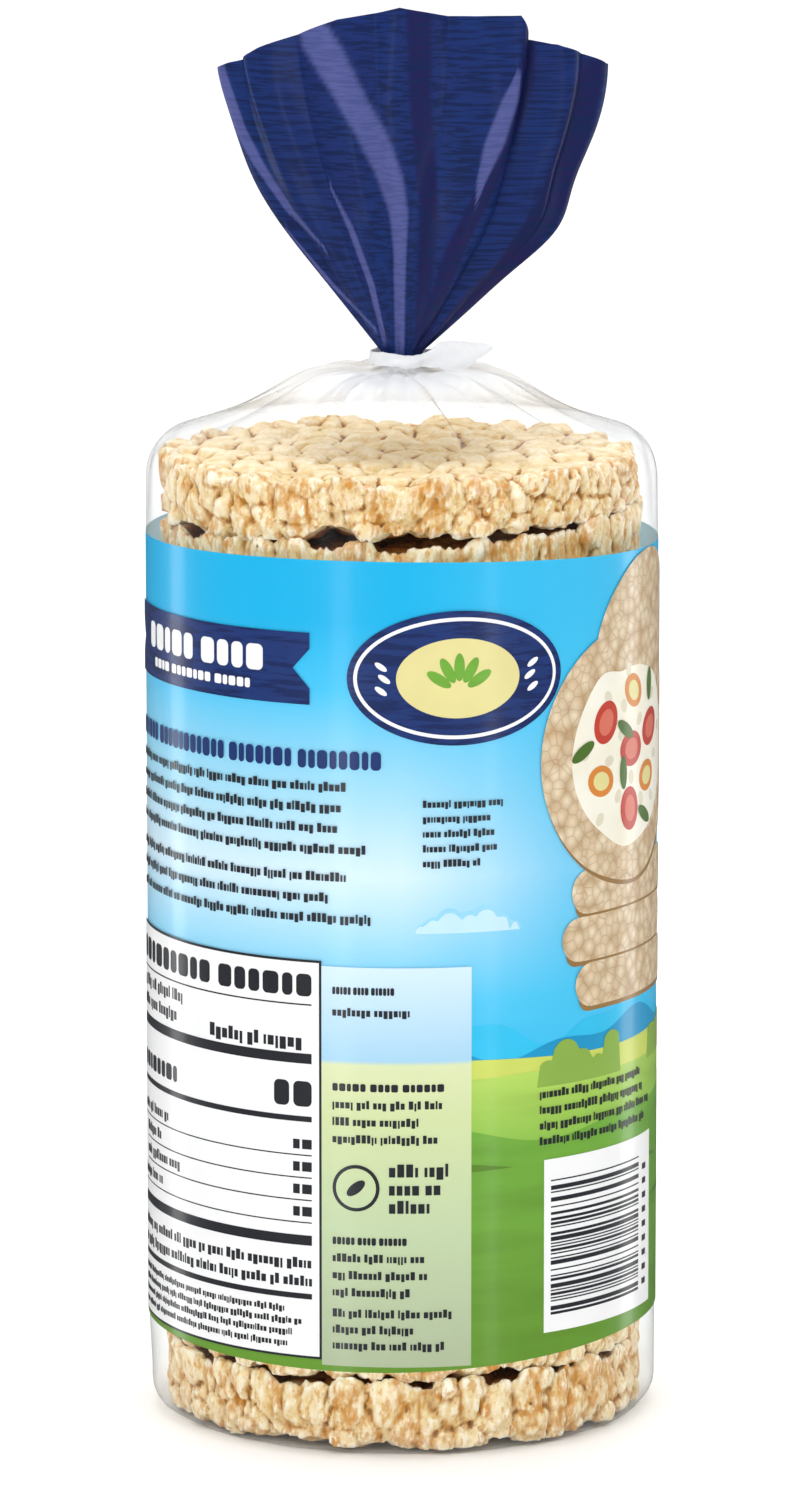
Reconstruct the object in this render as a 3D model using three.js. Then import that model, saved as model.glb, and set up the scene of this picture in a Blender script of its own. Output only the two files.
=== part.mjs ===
// A stack of puffed rice cakes in a clear film bag that is gathered at the neck and closed with a strip of tape.
// Millimetres, +Z up. The origin is the centre of the flat base, and -Y is the printed front.
import * as THREE from 'three';

// Contents: the cakes fill the bag from its base to the shoulder.
const CAKE_COUNT = 13;
const CAKE_THICKNESS = 14.8;
const CAKE_RADIUS = 47.5;
const FILM_SLACK = 2.9; // between the cakes' edge and the film
const STACK_TOP = CAKE_COUNT * CAKE_THICKNESS;

// Bag body
const BAG_RADIUS = CAKE_RADIUS + FILM_SLACK;
const BASE_ROUND = 5.5; // radius where the film turns under the lowest cake
const SHOULDER_WIDTH = 7; // elliptical corner over the rim of the top cake
const SHOULDER_RISE = 9;
const SHOULDER_START = STACK_TOP - 6.1;
const SHOULDER_TURN = THREE.MathUtils.degToRad(70);

// Tent of film between the shoulder and the neck
const NECK_RADIUS = 4;
const NECK_FOOT = STACK_TOP + 15.1; // height where the film turns upright into the neck
const NECK_PLEATS = 14;
const NECK_PLEAT_DEPTH = 0.35;
const TENT_BULGE_LEFT = 3.4;
const TENT_BULGE_RIGHT = 3.9;
const TENT_BULGE_RADIUS = 19;
const TENT_BULGE_WIDTH = 11;
const TENT_BULGE_INNER = 5; // radius inside which there is no bulge
const TENT_BULGE_FADE = 6;
const TENT_PLEATS = 14;
const TENT_PLEAT_DEPTH = 1.5;
const TENT_PLEAT_FADE = 0.6; // share of the tent's width where the pleats reach full depth
const TENT_PLEAT_DRIFT = 0.9; // unevenness of the pleats' spacing
const TENT_PLEAT_TURN = 2;

// Tail: the bag's open end above the tape, flared like a tulip and flattened front to back
const TAIL_FOOT = STACK_TOP + 18.6;
const TAIL_HALF_WIDTH = 38;
const TAIL_HALF_DEPTH = 18;
const TAIL_CENTRE_X = 2;
const TAIL_CURL_LEFT = 1.45; // how quickly the film spreads above the neck
const TAIL_CURL_RIGHT = 1.9;
// Folds round the mouth, by turns a ridge and a valley: degrees from the front, how deep the film lies inside
// the tail's envelope, and how high the mouth's edge stands above the tail's foot.
const TAIL_FOLDS = [
  [-86.25, 0, 55.4], [-67.5, 2.4, 57.5], [-52.5, 0.3, 60.3], [-37.5, 1.9, 63], [-22.5, 0, 66.2],
  [-11.25, 1.1, 67.4], [-3.75, 0, 68.6], [11.25, 2.2, 66.8], [33.75, 0, 66.8], [41.25, 4.4, 61.8],
  [56.25, 1, 60], [67.5, 2.4, 58.7], [82.5, 0, 56.4], [108.75, 4.4, 55.6], [131.25, 0, 58.8],
  [146.25, 3.2, 59.2], [165, 0, 61.4], [180, 2.6, 60.6], [198.75, 0.3, 61], [213.75, 3.8, 59],
  [232.5, 0, 58], [251.25, 4.2, 55.4],
];
const TAIL_WALL = 0.9;
const TAIL_FLOOR = 0.14; // share of the tail's height that is gathered solid

// Tape round the neck, with its two ends stuck together into a tab on the right
const TAPE_GAP = 0.9;
const TAPE_WALL = 1.5;
const TAPE_HEIGHT = 2.8;
const TAPE_FOOT = STACK_TOP + 15.6;
const TAPE_RADIUS = NECK_RADIUS + TAPE_GAP + TAPE_WALL;
const TAB_HALF_THICKNESS = 0.8;
// Outline of the tab: distance from the bag's axis, lower and upper edge above the tape's foot, sideways lean.
const TAB_STATIONS = [
  [8.3, -0.6, 5.2, -0.3],
  [10.9, -0.1, 5.1, -1.3],
  [13.4, 0.5, 4.9, -1.7],
  [15.7, 2, 4.6, -1.2],
  [17.6, 3.2, 4, -1.6],
];

// Mesh fineness
const SEGMENTS = 96;
const BASE_STEPS = 3;
const SHOULDER_STEPS = 4;
const TENT_STEPS = 9;
const TAIL_STEPS = 12;
const TAPE_STEPS = 2;

const mix = THREE.MathUtils.lerp;

// Angles run round the bag from the front (-Y) towards +X.
function onCircle(radius, angle, z) {
  return new THREE.Vector3(radius * Math.sin(angle), -radius * Math.cos(angle), z);
}

// Height of the film over the cakes, at a radius and angle: a cone with a soft bulge and radial pleats.
function tentHeight(radius, angle) {
  const edge = BAG_RADIUS - SHOULDER_WIDTH * (1 - Math.cos(SHOULDER_TURN));
  const edgeHeight = SHOULDER_START + SHOULDER_RISE * Math.sin(SHOULDER_TURN);
  const inward = (edge - radius) / (edge - NECK_RADIUS);
  const bulge = mix(TENT_BULGE_LEFT, TENT_BULGE_RIGHT, (1 + Math.sin(angle)) / 2);
  const bulgeFade = THREE.MathUtils.clamp((radius - TENT_BULGE_INNER) / TENT_BULGE_FADE, 0, 1);
  const bulgeShape = bulgeFade * Math.exp(-(((radius - TENT_BULGE_RADIUS) / TENT_BULGE_WIDTH) ** 2));
  const pleatShape = Math.min(inward / TENT_PLEAT_FADE, 1) * Math.min(radius / TENT_BULGE_RADIUS, 1);
  const pleat = Math.cos(TENT_PLEATS * angle + TENT_PLEAT_DRIFT * Math.sin(3 * angle) + TENT_PLEAT_TURN);
  return mix(edgeHeight, NECK_FOOT, inward) + bulge * bulgeShape + TENT_PLEAT_DEPTH * pleatShape * pleat;
}

// The tail's fold at an angle: round over the ridges, creased in the valleys, with a straight edge between them.
function foldAt(angle) {
  const first = TAIL_FOLDS[0][0];
  const degrees = first + THREE.MathUtils.euclideanModulo(THREE.MathUtils.radToDeg(angle) - first, 360);
  const next = TAIL_FOLDS.findIndex(([turn]) => turn > degrees);
  const [fromTurn, fromDepth, fromRise] = TAIL_FOLDS.at(next - (next < 0 ? 0 : 1));
  const [toTurn, toDepth, toRise] = TAIL_FOLDS[Math.max(next, 0)];
  const way = (degrees - fromTurn) / THREE.MathUtils.euclideanModulo(toTurn - fromTurn, 360);
  const eased = toDepth > fromDepth ? 1 - Math.cos((way * Math.PI) / 2) : Math.sin((way * Math.PI) / 2);
  return { depth: mix(fromDepth, toDepth, eased), rise: mix(fromRise, toRise, way) };
}

// A point of the tail's outer face: share runs from 0 at the neck to 1 at the mouth.
function tailPoint(share, angle) {
  const curl = mix(TAIL_CURL_LEFT, TAIL_CURL_RIGHT, (1 + Math.sin(angle)) / 2);
  const spread = 1 - (1 - share) ** curl;
  const fold = foldAt(angle);
  const pleat = NECK_PLEAT_DEPTH * (1 - spread) * Math.cos(NECK_PLEATS * angle) - fold.depth * spread;
  const wide = mix(NECK_RADIUS, TAIL_HALF_WIDTH, spread) + pleat;
  const deep = mix(NECK_RADIUS, TAIL_HALF_DEPTH, spread) + pleat;
  return new THREE.Vector3(
    TAIL_CENTRE_X * spread + wide * Math.sin(angle),
    -deep * Math.cos(angle),
    TAIL_FOOT + fold.rise * share,
  );
}

// The same point on the tail's inner face, one film wall further in.
function tailInnerPoint(share, angle) {
  const step = 0.02;
  const along = tailPoint(share, angle + step).sub(tailPoint(share, angle - step)).setZ(0).normalize();
  const inward = new THREE.Vector3(-along.y, along.x, 0);
  return tailPoint(share, angle).addScaledVector(inward, TAIL_WALL);
}

// The bag's stations from the centre of its base, up the outside to the mouth, and down inside the tail.
// Each is a function of the angle round the bag.
function bagStations() {
  const stations = [() => new THREE.Vector3(0, 0, 0)];
  for (let i = 0; i <= BASE_STEPS; i++) {
    const turn = (i / BASE_STEPS) * (Math.PI / 2);
    const radius = BAG_RADIUS - BASE_ROUND * (1 - Math.sin(turn));
    stations.push((angle) => onCircle(radius, angle, BASE_ROUND * (1 - Math.cos(turn))));
  }
  for (let i = 0; i < SHOULDER_STEPS; i++) {
    const turn = (i / SHOULDER_STEPS) * SHOULDER_TURN;
    const radius = BAG_RADIUS - SHOULDER_WIDTH * (1 - Math.cos(turn));
    stations.push((angle) => onCircle(radius, angle, SHOULDER_START + SHOULDER_RISE * Math.sin(turn)));
  }
  const edge = BAG_RADIUS - SHOULDER_WIDTH * (1 - Math.cos(SHOULDER_TURN));
  for (let i = 0; i <= TENT_STEPS; i++) {
    const radius = mix(edge, NECK_RADIUS, i / TENT_STEPS);
    stations.push((angle) => onCircle(radius, angle, tentHeight(radius, angle)));
  }
  for (let i = 0; i <= TAIL_STEPS; i++) {
    stations.push((angle) => tailPoint(i / TAIL_STEPS, angle));
  }
  for (let i = TAIL_STEPS; i / TAIL_STEPS > TAIL_FLOOR; i--) {
    stations.push((angle) => tailInnerPoint(i / TAIL_STEPS, angle));
  }
  stations.push(() => new THREE.Vector3(TAIL_CENTRE_X * TAIL_FLOOR, 0, tailPoint(TAIL_FLOOR, 0).z));
  return stations;
}

// A lathe whose rings are moved onto the stations, so that it keeps the lathe's closed topology.
function latheOver(stations) {
  const placeholder = stations.map((_, i) => new THREE.Vector2(1, i));
  const geometry = new THREE.LatheGeometry(placeholder, SEGMENTS);
  const position = geometry.getAttribute('position');
  for (let v = 0; v < position.count; v++) {
    const turn = Math.floor(v / stations.length) % SEGMENTS;
    const point = stations[v % stations.length]((turn / SEGMENTS) * 2 * Math.PI);
    position.setXYZ(v, point.x, point.y, point.z);
  }
  geometry.computeVertexNormals();
  return geometry;
}

// Plan of the tape: a ring with a straight tab towards +X.
function tapePlan() {
  const tabTurn = Math.asin(TAB_HALF_THICKNESS / TAPE_RADIUS);
  const plan = new THREE.Shape();
  plan.moveTo(TAPE_RADIUS * Math.cos(tabTurn), TAB_HALF_THICKNESS);
  plan.absarc(0, 0, TAPE_RADIUS, tabTurn, 2 * Math.PI - tabTurn, false);
  for (const [x] of TAB_STATIONS) {
    plan.lineTo(x, -TAB_HALF_THICKNESS);
  }
  for (const [x] of TAB_STATIONS.toReversed()) {
    plan.lineTo(x, TAB_HALF_THICKNESS);
  }
  plan.holes.push(new THREE.Path().absarc(0, 0, TAPE_RADIUS - TAPE_WALL, 0, 2 * Math.PI, true));
  return plan;
}

// The plan is raised to the tape's height, and each station of the tab to its own lower and upper edge.
function tapeGeometry() {
  const geometry = new THREE.ExtrudeGeometry(tapePlan(), {
    depth: 1,
    steps: TAPE_STEPS,
    bevelEnabled: false,
    curveSegments: 16,
  });
  const position = geometry.getAttribute('position');
  for (let v = 0; v < position.count; v++) {
    const x = position.getX(v);
    const station = TAB_STATIONS.find(([distance]) => Math.abs(distance - x) < 1e-3);
    const [, low, high, lean] = station ?? [x, 0, TAPE_HEIGHT, 0];
    position.setXYZ(v, x, position.getY(v) + lean, mix(low, high, position.getZ(v)));
  }
  geometry.computeVertexNormals();
  return geometry;
}

const filmMaterial = new THREE.MeshStandardMaterial({ color: 0x8fc7e8, roughness: 0.25, metalness: 0 });
const tapeMaterial = new THREE.MeshStandardMaterial({ color: 0xf1f2f2, roughness: 0.5, metalness: 0 });

const bag = new THREE.Mesh(latheOver(bagStations()), filmMaterial);
bag.name = 'bag';

const tape = new THREE.Mesh(tapeGeometry(), tapeMaterial);
tape.name = 'neck_tape';
tape.position.z = TAPE_FOOT;

const pack = new THREE.Group();
pack.add(bag, tape);

export default pack;
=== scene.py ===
"""A stack of puffed rice cakes in a printed film bag that is gathered at the neck and closed with tape.

Lengths are in metres. Angles run round the bag from its front (-Y) towards +X.
"""

import math

import bmesh
import bpy
import numpy as np
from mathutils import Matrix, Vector, kdtree


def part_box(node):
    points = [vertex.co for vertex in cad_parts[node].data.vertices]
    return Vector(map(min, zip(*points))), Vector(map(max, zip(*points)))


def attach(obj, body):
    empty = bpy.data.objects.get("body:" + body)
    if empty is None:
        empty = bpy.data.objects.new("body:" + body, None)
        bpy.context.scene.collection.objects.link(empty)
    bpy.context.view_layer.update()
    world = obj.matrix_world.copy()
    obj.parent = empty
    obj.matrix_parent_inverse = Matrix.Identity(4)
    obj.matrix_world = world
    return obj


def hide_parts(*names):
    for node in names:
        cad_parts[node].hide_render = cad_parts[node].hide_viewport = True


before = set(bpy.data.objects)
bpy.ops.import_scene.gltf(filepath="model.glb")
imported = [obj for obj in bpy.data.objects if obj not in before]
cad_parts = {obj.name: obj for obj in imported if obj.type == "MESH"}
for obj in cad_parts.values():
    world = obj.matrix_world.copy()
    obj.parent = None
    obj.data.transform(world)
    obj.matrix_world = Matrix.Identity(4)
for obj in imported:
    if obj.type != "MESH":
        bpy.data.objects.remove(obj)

bl_info = {
    "name": "Rice cake pack",
    "version": (1, 0, 0),
    "blender": (4, 5, 0),
    "location": "3D View > Sidebar > Rice pack",
    "description": "Builds a film bag of puffed rice cakes round its packed solids",
    "category": "Object",
}

MM = 0.001
TURN = 2 * math.pi
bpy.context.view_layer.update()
TAPE_LOW, TAPE_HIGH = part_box("neck_tape")
BAG_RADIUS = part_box("bag")[1].x
STACK_TOP = 0.1924


# ---------------------------------------------------------------- settings


def screen(code):
    """A colour in linear light from its six-digit screen code."""
    channels = (int(code[k:k + 2], 16) / 255 for k in (0, 2, 4))
    return tuple(c / 12.92 if c <= 0.04045 else ((c + 0.055) / 1.055) ** 2.4 for c in channels)


def length(name, description, default):
    """A length property in metres."""
    return bpy.props.FloatProperty(name=name, description=description, default=default, min=0, unit="LENGTH")


def colour(name, description, default):
    """A colour property in linear light."""
    return bpy.props.FloatVectorProperty(
        name=name, description=description, default=default, size=3, min=0, max=1, subtype="COLOR"
    )


class StackSettings(bpy.types.PropertyGroup):
    """The puffed rice cakes."""

    count: bpy.props.IntProperty(name="Cakes", description="Cakes in the stack", default=13, min=1)
    radius: length("Cake radius", "Radius of a cake over its edge grains", 0.0475)
    thickness: length("Cake thickness", "Thickness of a cake between its pressed faces", 0.0143)
    grain_length: length("Grain length", "Length of a puffed grain", 0.0088)
    grain_width: length("Grain width", "Width of a puffed grain", 0.0060)
    fine: length("Fine mesh", "Mesh spacing on the cakes that show", 0.00058)
    coarse: length("Coarse mesh", "Mesh spacing on the cakes behind the print", 0.0016)
    cream: colour("Cream", "Lightest puffed grain", screen("f3ddad"))
    # painted shade: the colour laid into the crevices
    tan: colour("Tan", "Toasted grain and crevices", screen("b27416"))
    bran: colour("Bran", "Bran flecks", screen("d08810"))


class FilmSettings(bpy.types.PropertyGroup):
    """The bag's clear film and its tail."""

    haze: colour("Haze", "Milky colour of the clear film", screen("f3f5f7"))
    navy: colour("Tail", "Printed colour of the tail", screen("0f2c69"))
    navy_line: colour("Tail lines", "Darker lines printed on the tail", screen("0d2050"))
    tail_wall: length("Tail wall", "Thickness of the tail's film", 0.00035)


class PrintSettings(bpy.types.PropertyGroup):
    """The printed sleeve of the bag."""

    low: length("Print foot", "Height of the print's lower edge", 0.0175)
    high: length("Print top", "Height of the print's upper edge", 0.1766)
    horizon: length("Horizon", "Height where the printed fields meet the sky", 0.0792)


class TapeSettings(bpy.types.PropertyGroup):
    """The tape round the neck."""

    thickness: length("Tape thickness", "Thickness of one layer of tape", 0.0004)
    paper: colour("Tape", "Colour of the tape", screen("eceef1"))


class StageSettings(bpy.types.PropertyGroup):
    """Floor, lights and camera."""

    distance: length("Camera distance", "From the camera to the point it looks at", 1.684)
    aim: length("Aim height", "Height of the point that the camera looks at", 0.13137)
    elevation: bpy.props.FloatProperty(
        name="Elevation",
        description="Camera's angle above the horizon",
        default=math.radians(9.9622),
        subtype="ANGLE",
    )
    lens: bpy.props.FloatProperty(
        name="Lens", description="Focal length in millimetres", default=204.53, min=1
    )
    brightness: bpy.props.FloatProperty(
        name="Brightness", description="Scales every lamp", default=1.0, min=0
    )


# ---------------------------------------------------------------- helpers


def mix(a, b, share):
    """Straight blend from a to b."""
    return a + (b - a) * share


def smooth(low, high, value):
    """0 below low, 1 above high, eased in between."""
    way = np.clip((value - low) / (high - low), 0, 1)
    return way * way * (3 - 2 * way)


def lattice_noise(points, size, seed):
    """Smooth noise from -1 to 1 on an array of points; its bumps are about size across."""
    cells = 32
    values = np.random.default_rng(seed).random((cells, cells, cells)) * 2 - 1
    scaled = np.asarray(points) / size
    base = np.floor(scaled).astype(int)
    way = scaled - base
    way = way * way * (3 - 2 * way)
    total = np.zeros(len(scaled))
    for corner in np.ndindex(2, 2, 2):
        weight = np.prod(np.where(corner, way, 1 - way), axis=1)
        index = (base + corner) % cells
        total += weight * values[index[:, 0], index[:, 1], index[:, 2]]
    return total


def add_piece(name, mesh, material, slot, replaces=(), sharp=40):
    """Links a finished mesh as a named piece that rides on the pack."""
    mesh.name = name
    mesh.shade_smooth()
    if sharp:
        mesh.set_sharp_from_angle(angle=math.radians(sharp))
    mesh.materials.clear()
    mesh.materials.append(material)
    piece = bpy.data.objects.new(name, mesh)
    bpy.context.scene.collection.objects.link(piece)
    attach(piece, "root")
    if replaces:
        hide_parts(*replaces)
    # light comes through the thin print
    piece.visible_shadow = slot != "printed_film" or name == "printed_tail"
    return piece


def ring_mesh(rows, looped=False):
    """A closed mesh over rows of points that run round the bag; a row of one point is a pole.

    A looped mesh joins its last row to its first.
    """
    vertices, faces, starts = [], [], []
    for row in rows:
        starts.append(len(vertices))
        vertices.extend(row)
    for lower in range(len(rows) if looped else len(rows) - 1):
        upper = (lower + 1) % len(rows)
        low, high = starts[lower], starts[upper]
        around = max(len(rows[lower]), len(rows[upper]))
        for i in range(around):
            j = (i + 1) % around
            if len(rows[lower]) == 1:
                faces.append((low, high + j, high + i))
            elif len(rows[upper]) == 1:
                faces.append((low + i, low + j, high))
            else:
                faces.append((low + i, low + j, high + j, high + i))
    mesh = bpy.data.meshes.new("rings")
    mesh.from_pydata([tuple(v) for v in vertices], [], faces)
    mesh.validate()
    return mesh


def set_attribute(mesh, name, values):
    """Stores one number for each vertex."""
    attribute = mesh.attributes.new(name, "FLOAT", "POINT")
    attribute.data.foreach_set("value", np.asarray(values, np.float32))


def numbers(items, key, width=1, kind=float):
    """One property of all of a mesh's items as an array, with a row for each item if it is wider than one."""
    flat = np.zeros(len(items) * width, kind)
    items.foreach_get(key, flat)
    return flat.reshape(-1, width) if width > 1 else flat


def points_of(mesh):
    """The mesh's vertices as an array."""
    return numbers(mesh.vertices, "co", 3)


def normals_of(mesh):
    """The mesh's vertex normals as an array."""
    return numbers(mesh.vertex_normals, "vector", 3, np.float32)


def move_points(mesh, points):
    """Sets the mesh's vertices from an array."""
    mesh.vertices.foreach_set("co", points.ravel())
    mesh.update()


def add_node(tree, kind, inputs=None, **settings):
    """Adds a node to a tree; an input's value is a number, a colour or another node's output."""
    made = tree.nodes.new(kind)
    for key, value in settings.items():
        setattr(made, key, value)
    for key, value in (inputs or {}).items():
        socket = made.inputs[key]
        if isinstance(value, bpy.types.NodeSocket):
            tree.links.new(value, socket)
        else:
            socket.default_value = (*value, 1) if socket.type == "RGBA" else value
    return made


# ---------------------------------------------------------------- materials


class Shader:
    """A new node material with short calls for the nodes that the finishes share."""

    def __init__(self, name):
        self.material = bpy.data.materials.new(name)
        self.material.use_nodes = True
        self.tree = self.material.node_tree
        self.tree.nodes.clear()
        self.output = self.tree.nodes.new("ShaderNodeOutputMaterial")

    def node(self, kind, inputs=None, **settings):
        """Adds a shader node."""
        return add_node(self.tree, "ShaderNode" + kind, inputs, **settings)

    def place(self, stretch=(1, 1, 1)):
        """Object coordinates, stretched."""
        source = self.node("TexCoord").outputs["Object"]
        return self.node("Mapping", {"Vector": source, "Scale": stretch}).outputs["Vector"]

    def noise(self, vector, size, detail=2.0, roughness=0.5):
        """Noise from 0 to 1 whose bumps are about size across."""
        inputs = {"Vector": vector, "Scale": 1 / size, "Detail": detail, "Roughness": roughness}
        return self.node("TexNoise", inputs).outputs["Fac"]

    def ramp(self, value, *stops):
        """A colour ramp with stops of place and screen code, or place and number."""
        made = self.node("ValToRGB", {"Fac": value})
        elements = made.color_ramp.elements
        while len(elements) < len(stops):
            elements.new(1.0)
        for element, (position, shade) in zip(elements, stops):
            element.position = position
            element.color = (*(screen(shade) if isinstance(shade, str) else (shade,) * 3), 1)
        return made.outputs["Color"]

    def blend(self, share, a, b):
        """Mixes two colours."""
        return self.node("Mix", {0: share, 6: a, 7: b}, data_type="RGBA").outputs[2]

    def attribute(self, name):
        """A number stored on the mesh."""
        return self.node("Attribute", attribute_name=name).outputs["Fac"]

    def range(self, value, low, high, to_low=0.0, to_high=1.0):
        """Moves a number from one range to another, clamped."""
        ends = {"From Min": low, "From Max": high, "To Min": to_low, "To Max": to_high}
        return self.node("MapRange", {"Value": value, **ends}).outputs["Result"]

    def math(self, operation, a, b):
        """One arithmetic step."""
        return self.node("Math", {0: a, 1: b}, operation=operation).outputs["Value"]

    def times(self, a, b):
        """A product."""
        return self.math("MULTIPLY", a, b)

    def use(self, output):
        """Makes a shader the material's surface and gives the material."""
        self.tree.links.new(output, self.output.inputs["Surface"])
        return self.material

    def bump(self, height, depth, normal=None):
        """A bump normal; depth is in metres."""
        inputs = {"Height": height, "Distance": depth, "Strength": 1.0}
        if normal:
            inputs["Normal"] = normal
        return self.node("Bump", inputs).outputs["Normal"]

    def surface(self, base, roughness, normal=None, **more):
        """A principled surface as the material's output."""
        inputs = {"Base Color": base, "Roughness": roughness}
        if normal:
            inputs["Normal"] = normal
        for key, value in more.items():
            inputs[key.replace("_", " ").title().replace("Ior", "IOR")] = value
        return self.use(self.node("BsdfPrincipled", inputs).outputs["BSDF"])


def film_ripple(shader, depth=0.00025):
    """The soft waviness that all of the bag's film shares."""
    broad = shader.noise(shader.place((1, 1, 0.35)), 0.018, 1.0)
    return shader.bump(broad, depth)


# Shares of milkiness and of mirror in the clear film: seen square on, and what is added edge on, which grows
# with a power of the slant.
MILKY_SQUARE_ON, MILKY_EDGE_ON, MILKY_POWER = 0.001, 0.24, 3.0
MILKY_GATHERED = 0.86
MIRROR_SQUARE_ON, MIRROR_EDGE_ON, MIRROR_POWER = 0.010, 0.10, 5.0
# The see-through colour dims edge on: a painted reflection of darker surroundings.
CLEAR_SQUARE_ON, CLEAR_EDGE_ON, CLEAR_POWER = (0.985, 0.99, 0.995), (0.62, 0.64, 0.65), 6.0


def clear_film_material(settings):
    """Clear film: see-through, glossy, and milky where it is gathered or seen edge on."""
    shader = Shader("clear film")
    ripple = film_ripple(shader)
    slant = shader.node("LayerWeight", {"Blend": 0.5, "Normal": ripple}).outputs["Facing"]

    def rising(square_on, edge_on, power):
        return shader.math("ADD", shader.times(shader.math("POWER", slant, power), edge_on), square_on)

    share = rising(MILKY_SQUARE_ON, MILKY_EDGE_ON, MILKY_POWER)
    share = shader.math("ADD", share, shader.times(shader.attribute("gathered"), MILKY_GATHERED))
    # painted reflection: the see-through colour darkens edge on
    tint = shader.blend(shader.math("POWER", slant, CLEAR_POWER), CLEAR_SQUARE_ON, CLEAR_EDGE_ON)
    clear = shader.node("BsdfTransparent", {"Color": tint}).outputs["BSDF"]
    milky = shader.node("BsdfPrincipled", {"Base Color": tuple(settings.haze), "Roughness": 0.35}).outputs[0]
    body = shader.node("MixShader", {0: share, 1: clear, 2: milky}).outputs["Shader"]
    finish = {"Roughness": 0.20, "Normal": ripple, "Color": (1.0, 1.0, 1.0)}
    gloss = shader.node("BsdfGlossy", finish).outputs["BSDF"]
    mirror = rising(MIRROR_SQUARE_ON, MIRROR_EDGE_ON, MIRROR_POWER)
    return shader.use(shader.node("MixShader", {0: mirror, 1: body, 2: gloss}).outputs["Shader"])


def tail_material(settings):
    """Dark blue printed film with fine wavy darker lines round the tail, with a painted sheen in paler bands
    and painted shade in purpler bands.
    """
    shader = Shader("printed tail film")
    around = shader.node("UVMap", uv_map="film").outputs["UV"]
    stretch = shader.node("Mapping", {"Vector": around, "Scale": (0.07, 1.0, 1.0)}).outputs["Vector"]
    lines = shader.noise(stretch, 0.00075, 2.5, 0.62)
    mottle = shader.noise(around, 0.02, 2.0)
    dark = shader.ramp(lines, (0.47, 0.0), (0.56, 1.0))
    base = shader.blend(shader.range(mottle, 0.35, 0.65, 0.0, 0.5), tuple(settings.navy), screen("1c2661"))
    # painted shade: darker purple in the shade bands, in the fold valleys and on the right
    base = shader.blend(shader.times(shader.attribute("dark"), 0.75), base, screen("1c1247"))
    base = shader.blend(dark, base, tuple(settings.navy_line))
    line_share = shader.times(dark, 0.35)
    # painted sheen: paler blue in the sheen bands, standing in for lamps reflected in the folds
    pale = shader.blend(line_share, screen("535a94"), screen("363f7c"))
    base = shader.blend(shader.times(shader.attribute("pale"), 0.85), base, pale)
    return shader.surface(base, 0.5, film_ripple(shader, 0.00012), specular_ior_level=0.12, coat_weight=0.12,
                          coat_roughness=0.2)


def tape_material(settings):
    """Creased white tape."""
    shader = Shader("white tape")
    crease = shader.noise(shader.place(), 0.0016, 3.0, 0.6)
    base = shader.blend(shader.range(crease, 0.4, 0.7, 0.0, 0.25), tuple(settings.paper), screen("dde0e5"))
    return shader.surface(base, 0.45, shader.bump(crease, 0.00008))


INK_DEPTH = 0.12  # how far the gloss deepens an ink towards black
INK_DRIFT = 0.86  # brightness of an ink's darker tone where no other is given


def ink_material(name, code, second=None):
    """Printed film in one ink, with a faint drift in tone and the film's own gloss."""
    shader = Shader(name)
    drift = shader.noise(shader.place(), 0.011, 2.0)
    shade = screen(code)
    other = screen(second) if second else tuple(channel * INK_DRIFT for channel in shade)
    return printed_surface(shader, shader.blend(shader.range(drift, 0.35, 0.75, 0.0, 0.5), shade, other))


def printed_surface(shader, ink):
    """The finish that every ink shares: satin film with a clear gloss that deepens the ink a little."""
    base = shader.blend(INK_DEPTH, ink, (0.0, 0.0, 0.0))
    return shader.surface(base, 0.40, film_ripple(shader), specular_ior_level=0.25, coat_weight=0.35,
                          coat_roughness=0.16)


def axis_of(shader, axis, low, high):
    """0 at a low place along X or Z and 1 at a high one."""
    return shader.range(shader.node("SeparateXYZ", {"Vector": shader.place()}).outputs[axis], low, high)


def sky_material(settings):
    """Printed sky, from bright blue at the top through a pale middle to blue at the horizon."""
    shader = Shader("printed sky")
    middle = "3fc4f3"
    height = axis_of(shader, "Z", settings.horizon, settings.high)
    ramp = shader.ramp(height, (0.0, "2fbdf0"), (0.12, "54caf3"), (0.37, "d6f0fd"), (0.52, "a7def5"),
                       (0.74, middle), (0.88, "02b4ea"))
    base = shader.blend(shader.times(axis_of(shader, "X", 0.0, 0.032), 0.75), ramp, screen(middle))
    printed_surface(shader, base)
    printed_face = shader.output.inputs["Surface"].links[0].from_socket
    milky = shader.node("BsdfTranslucent", {"Color": screen("f4f6f8")}).outputs["BSDF"]
    return shader.use(
        shader.node("MixShader", {0: shader.attribute("backing"), 1: printed_face, 2: milky}).outputs[0]
    )


def field_material(name, upper, lower, low, high):
    """A printed field that deepens towards its foot, with faint level streaks; ends are in millimetres."""
    shader = Shader(name)
    streak = shader.noise(shader.place((1, 1, 7)), 0.03, 2.0)
    deep = screen(lower)
    base = shader.blend(axis_of(shader, "Z", low * MM, high * MM), deep, screen(upper))
    base = shader.blend(shader.range(streak, 0.4, 0.7, 0.0, 0.35), base, tuple(0.7 * c for c in deep))
    return printed_surface(shader, base)


def veil_material(name):
    """The pale panel: sky, lime and green seen through white."""
    shader = Shader(name)
    height = axis_of(shader, "Z", 18 * MM, 98 * MM)
    return printed_surface(shader, shader.ramp(
        height, (0.0, "b0bd9c"), (0.35, "c3d5aa"), (0.62, "d3e0a8"), (0.755, "dee7b6"), (0.765, "a9d6f0"),
        (1.0, "d6eefb"),
    ))


def navy_ink_material(name):
    """Dark blue ink with fine wavy darker lines."""
    shader = Shader(name)
    lines = shader.noise(shader.place((0.12, 0.12, 1.0)), 0.0012, 2.5, 0.62)
    base = shader.blend(shader.ramp(lines, (0.48, 0.0), (0.56, 1.0)), screen("1b3675"), screen("15295f"))
    return printed_surface(shader, base)


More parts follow.
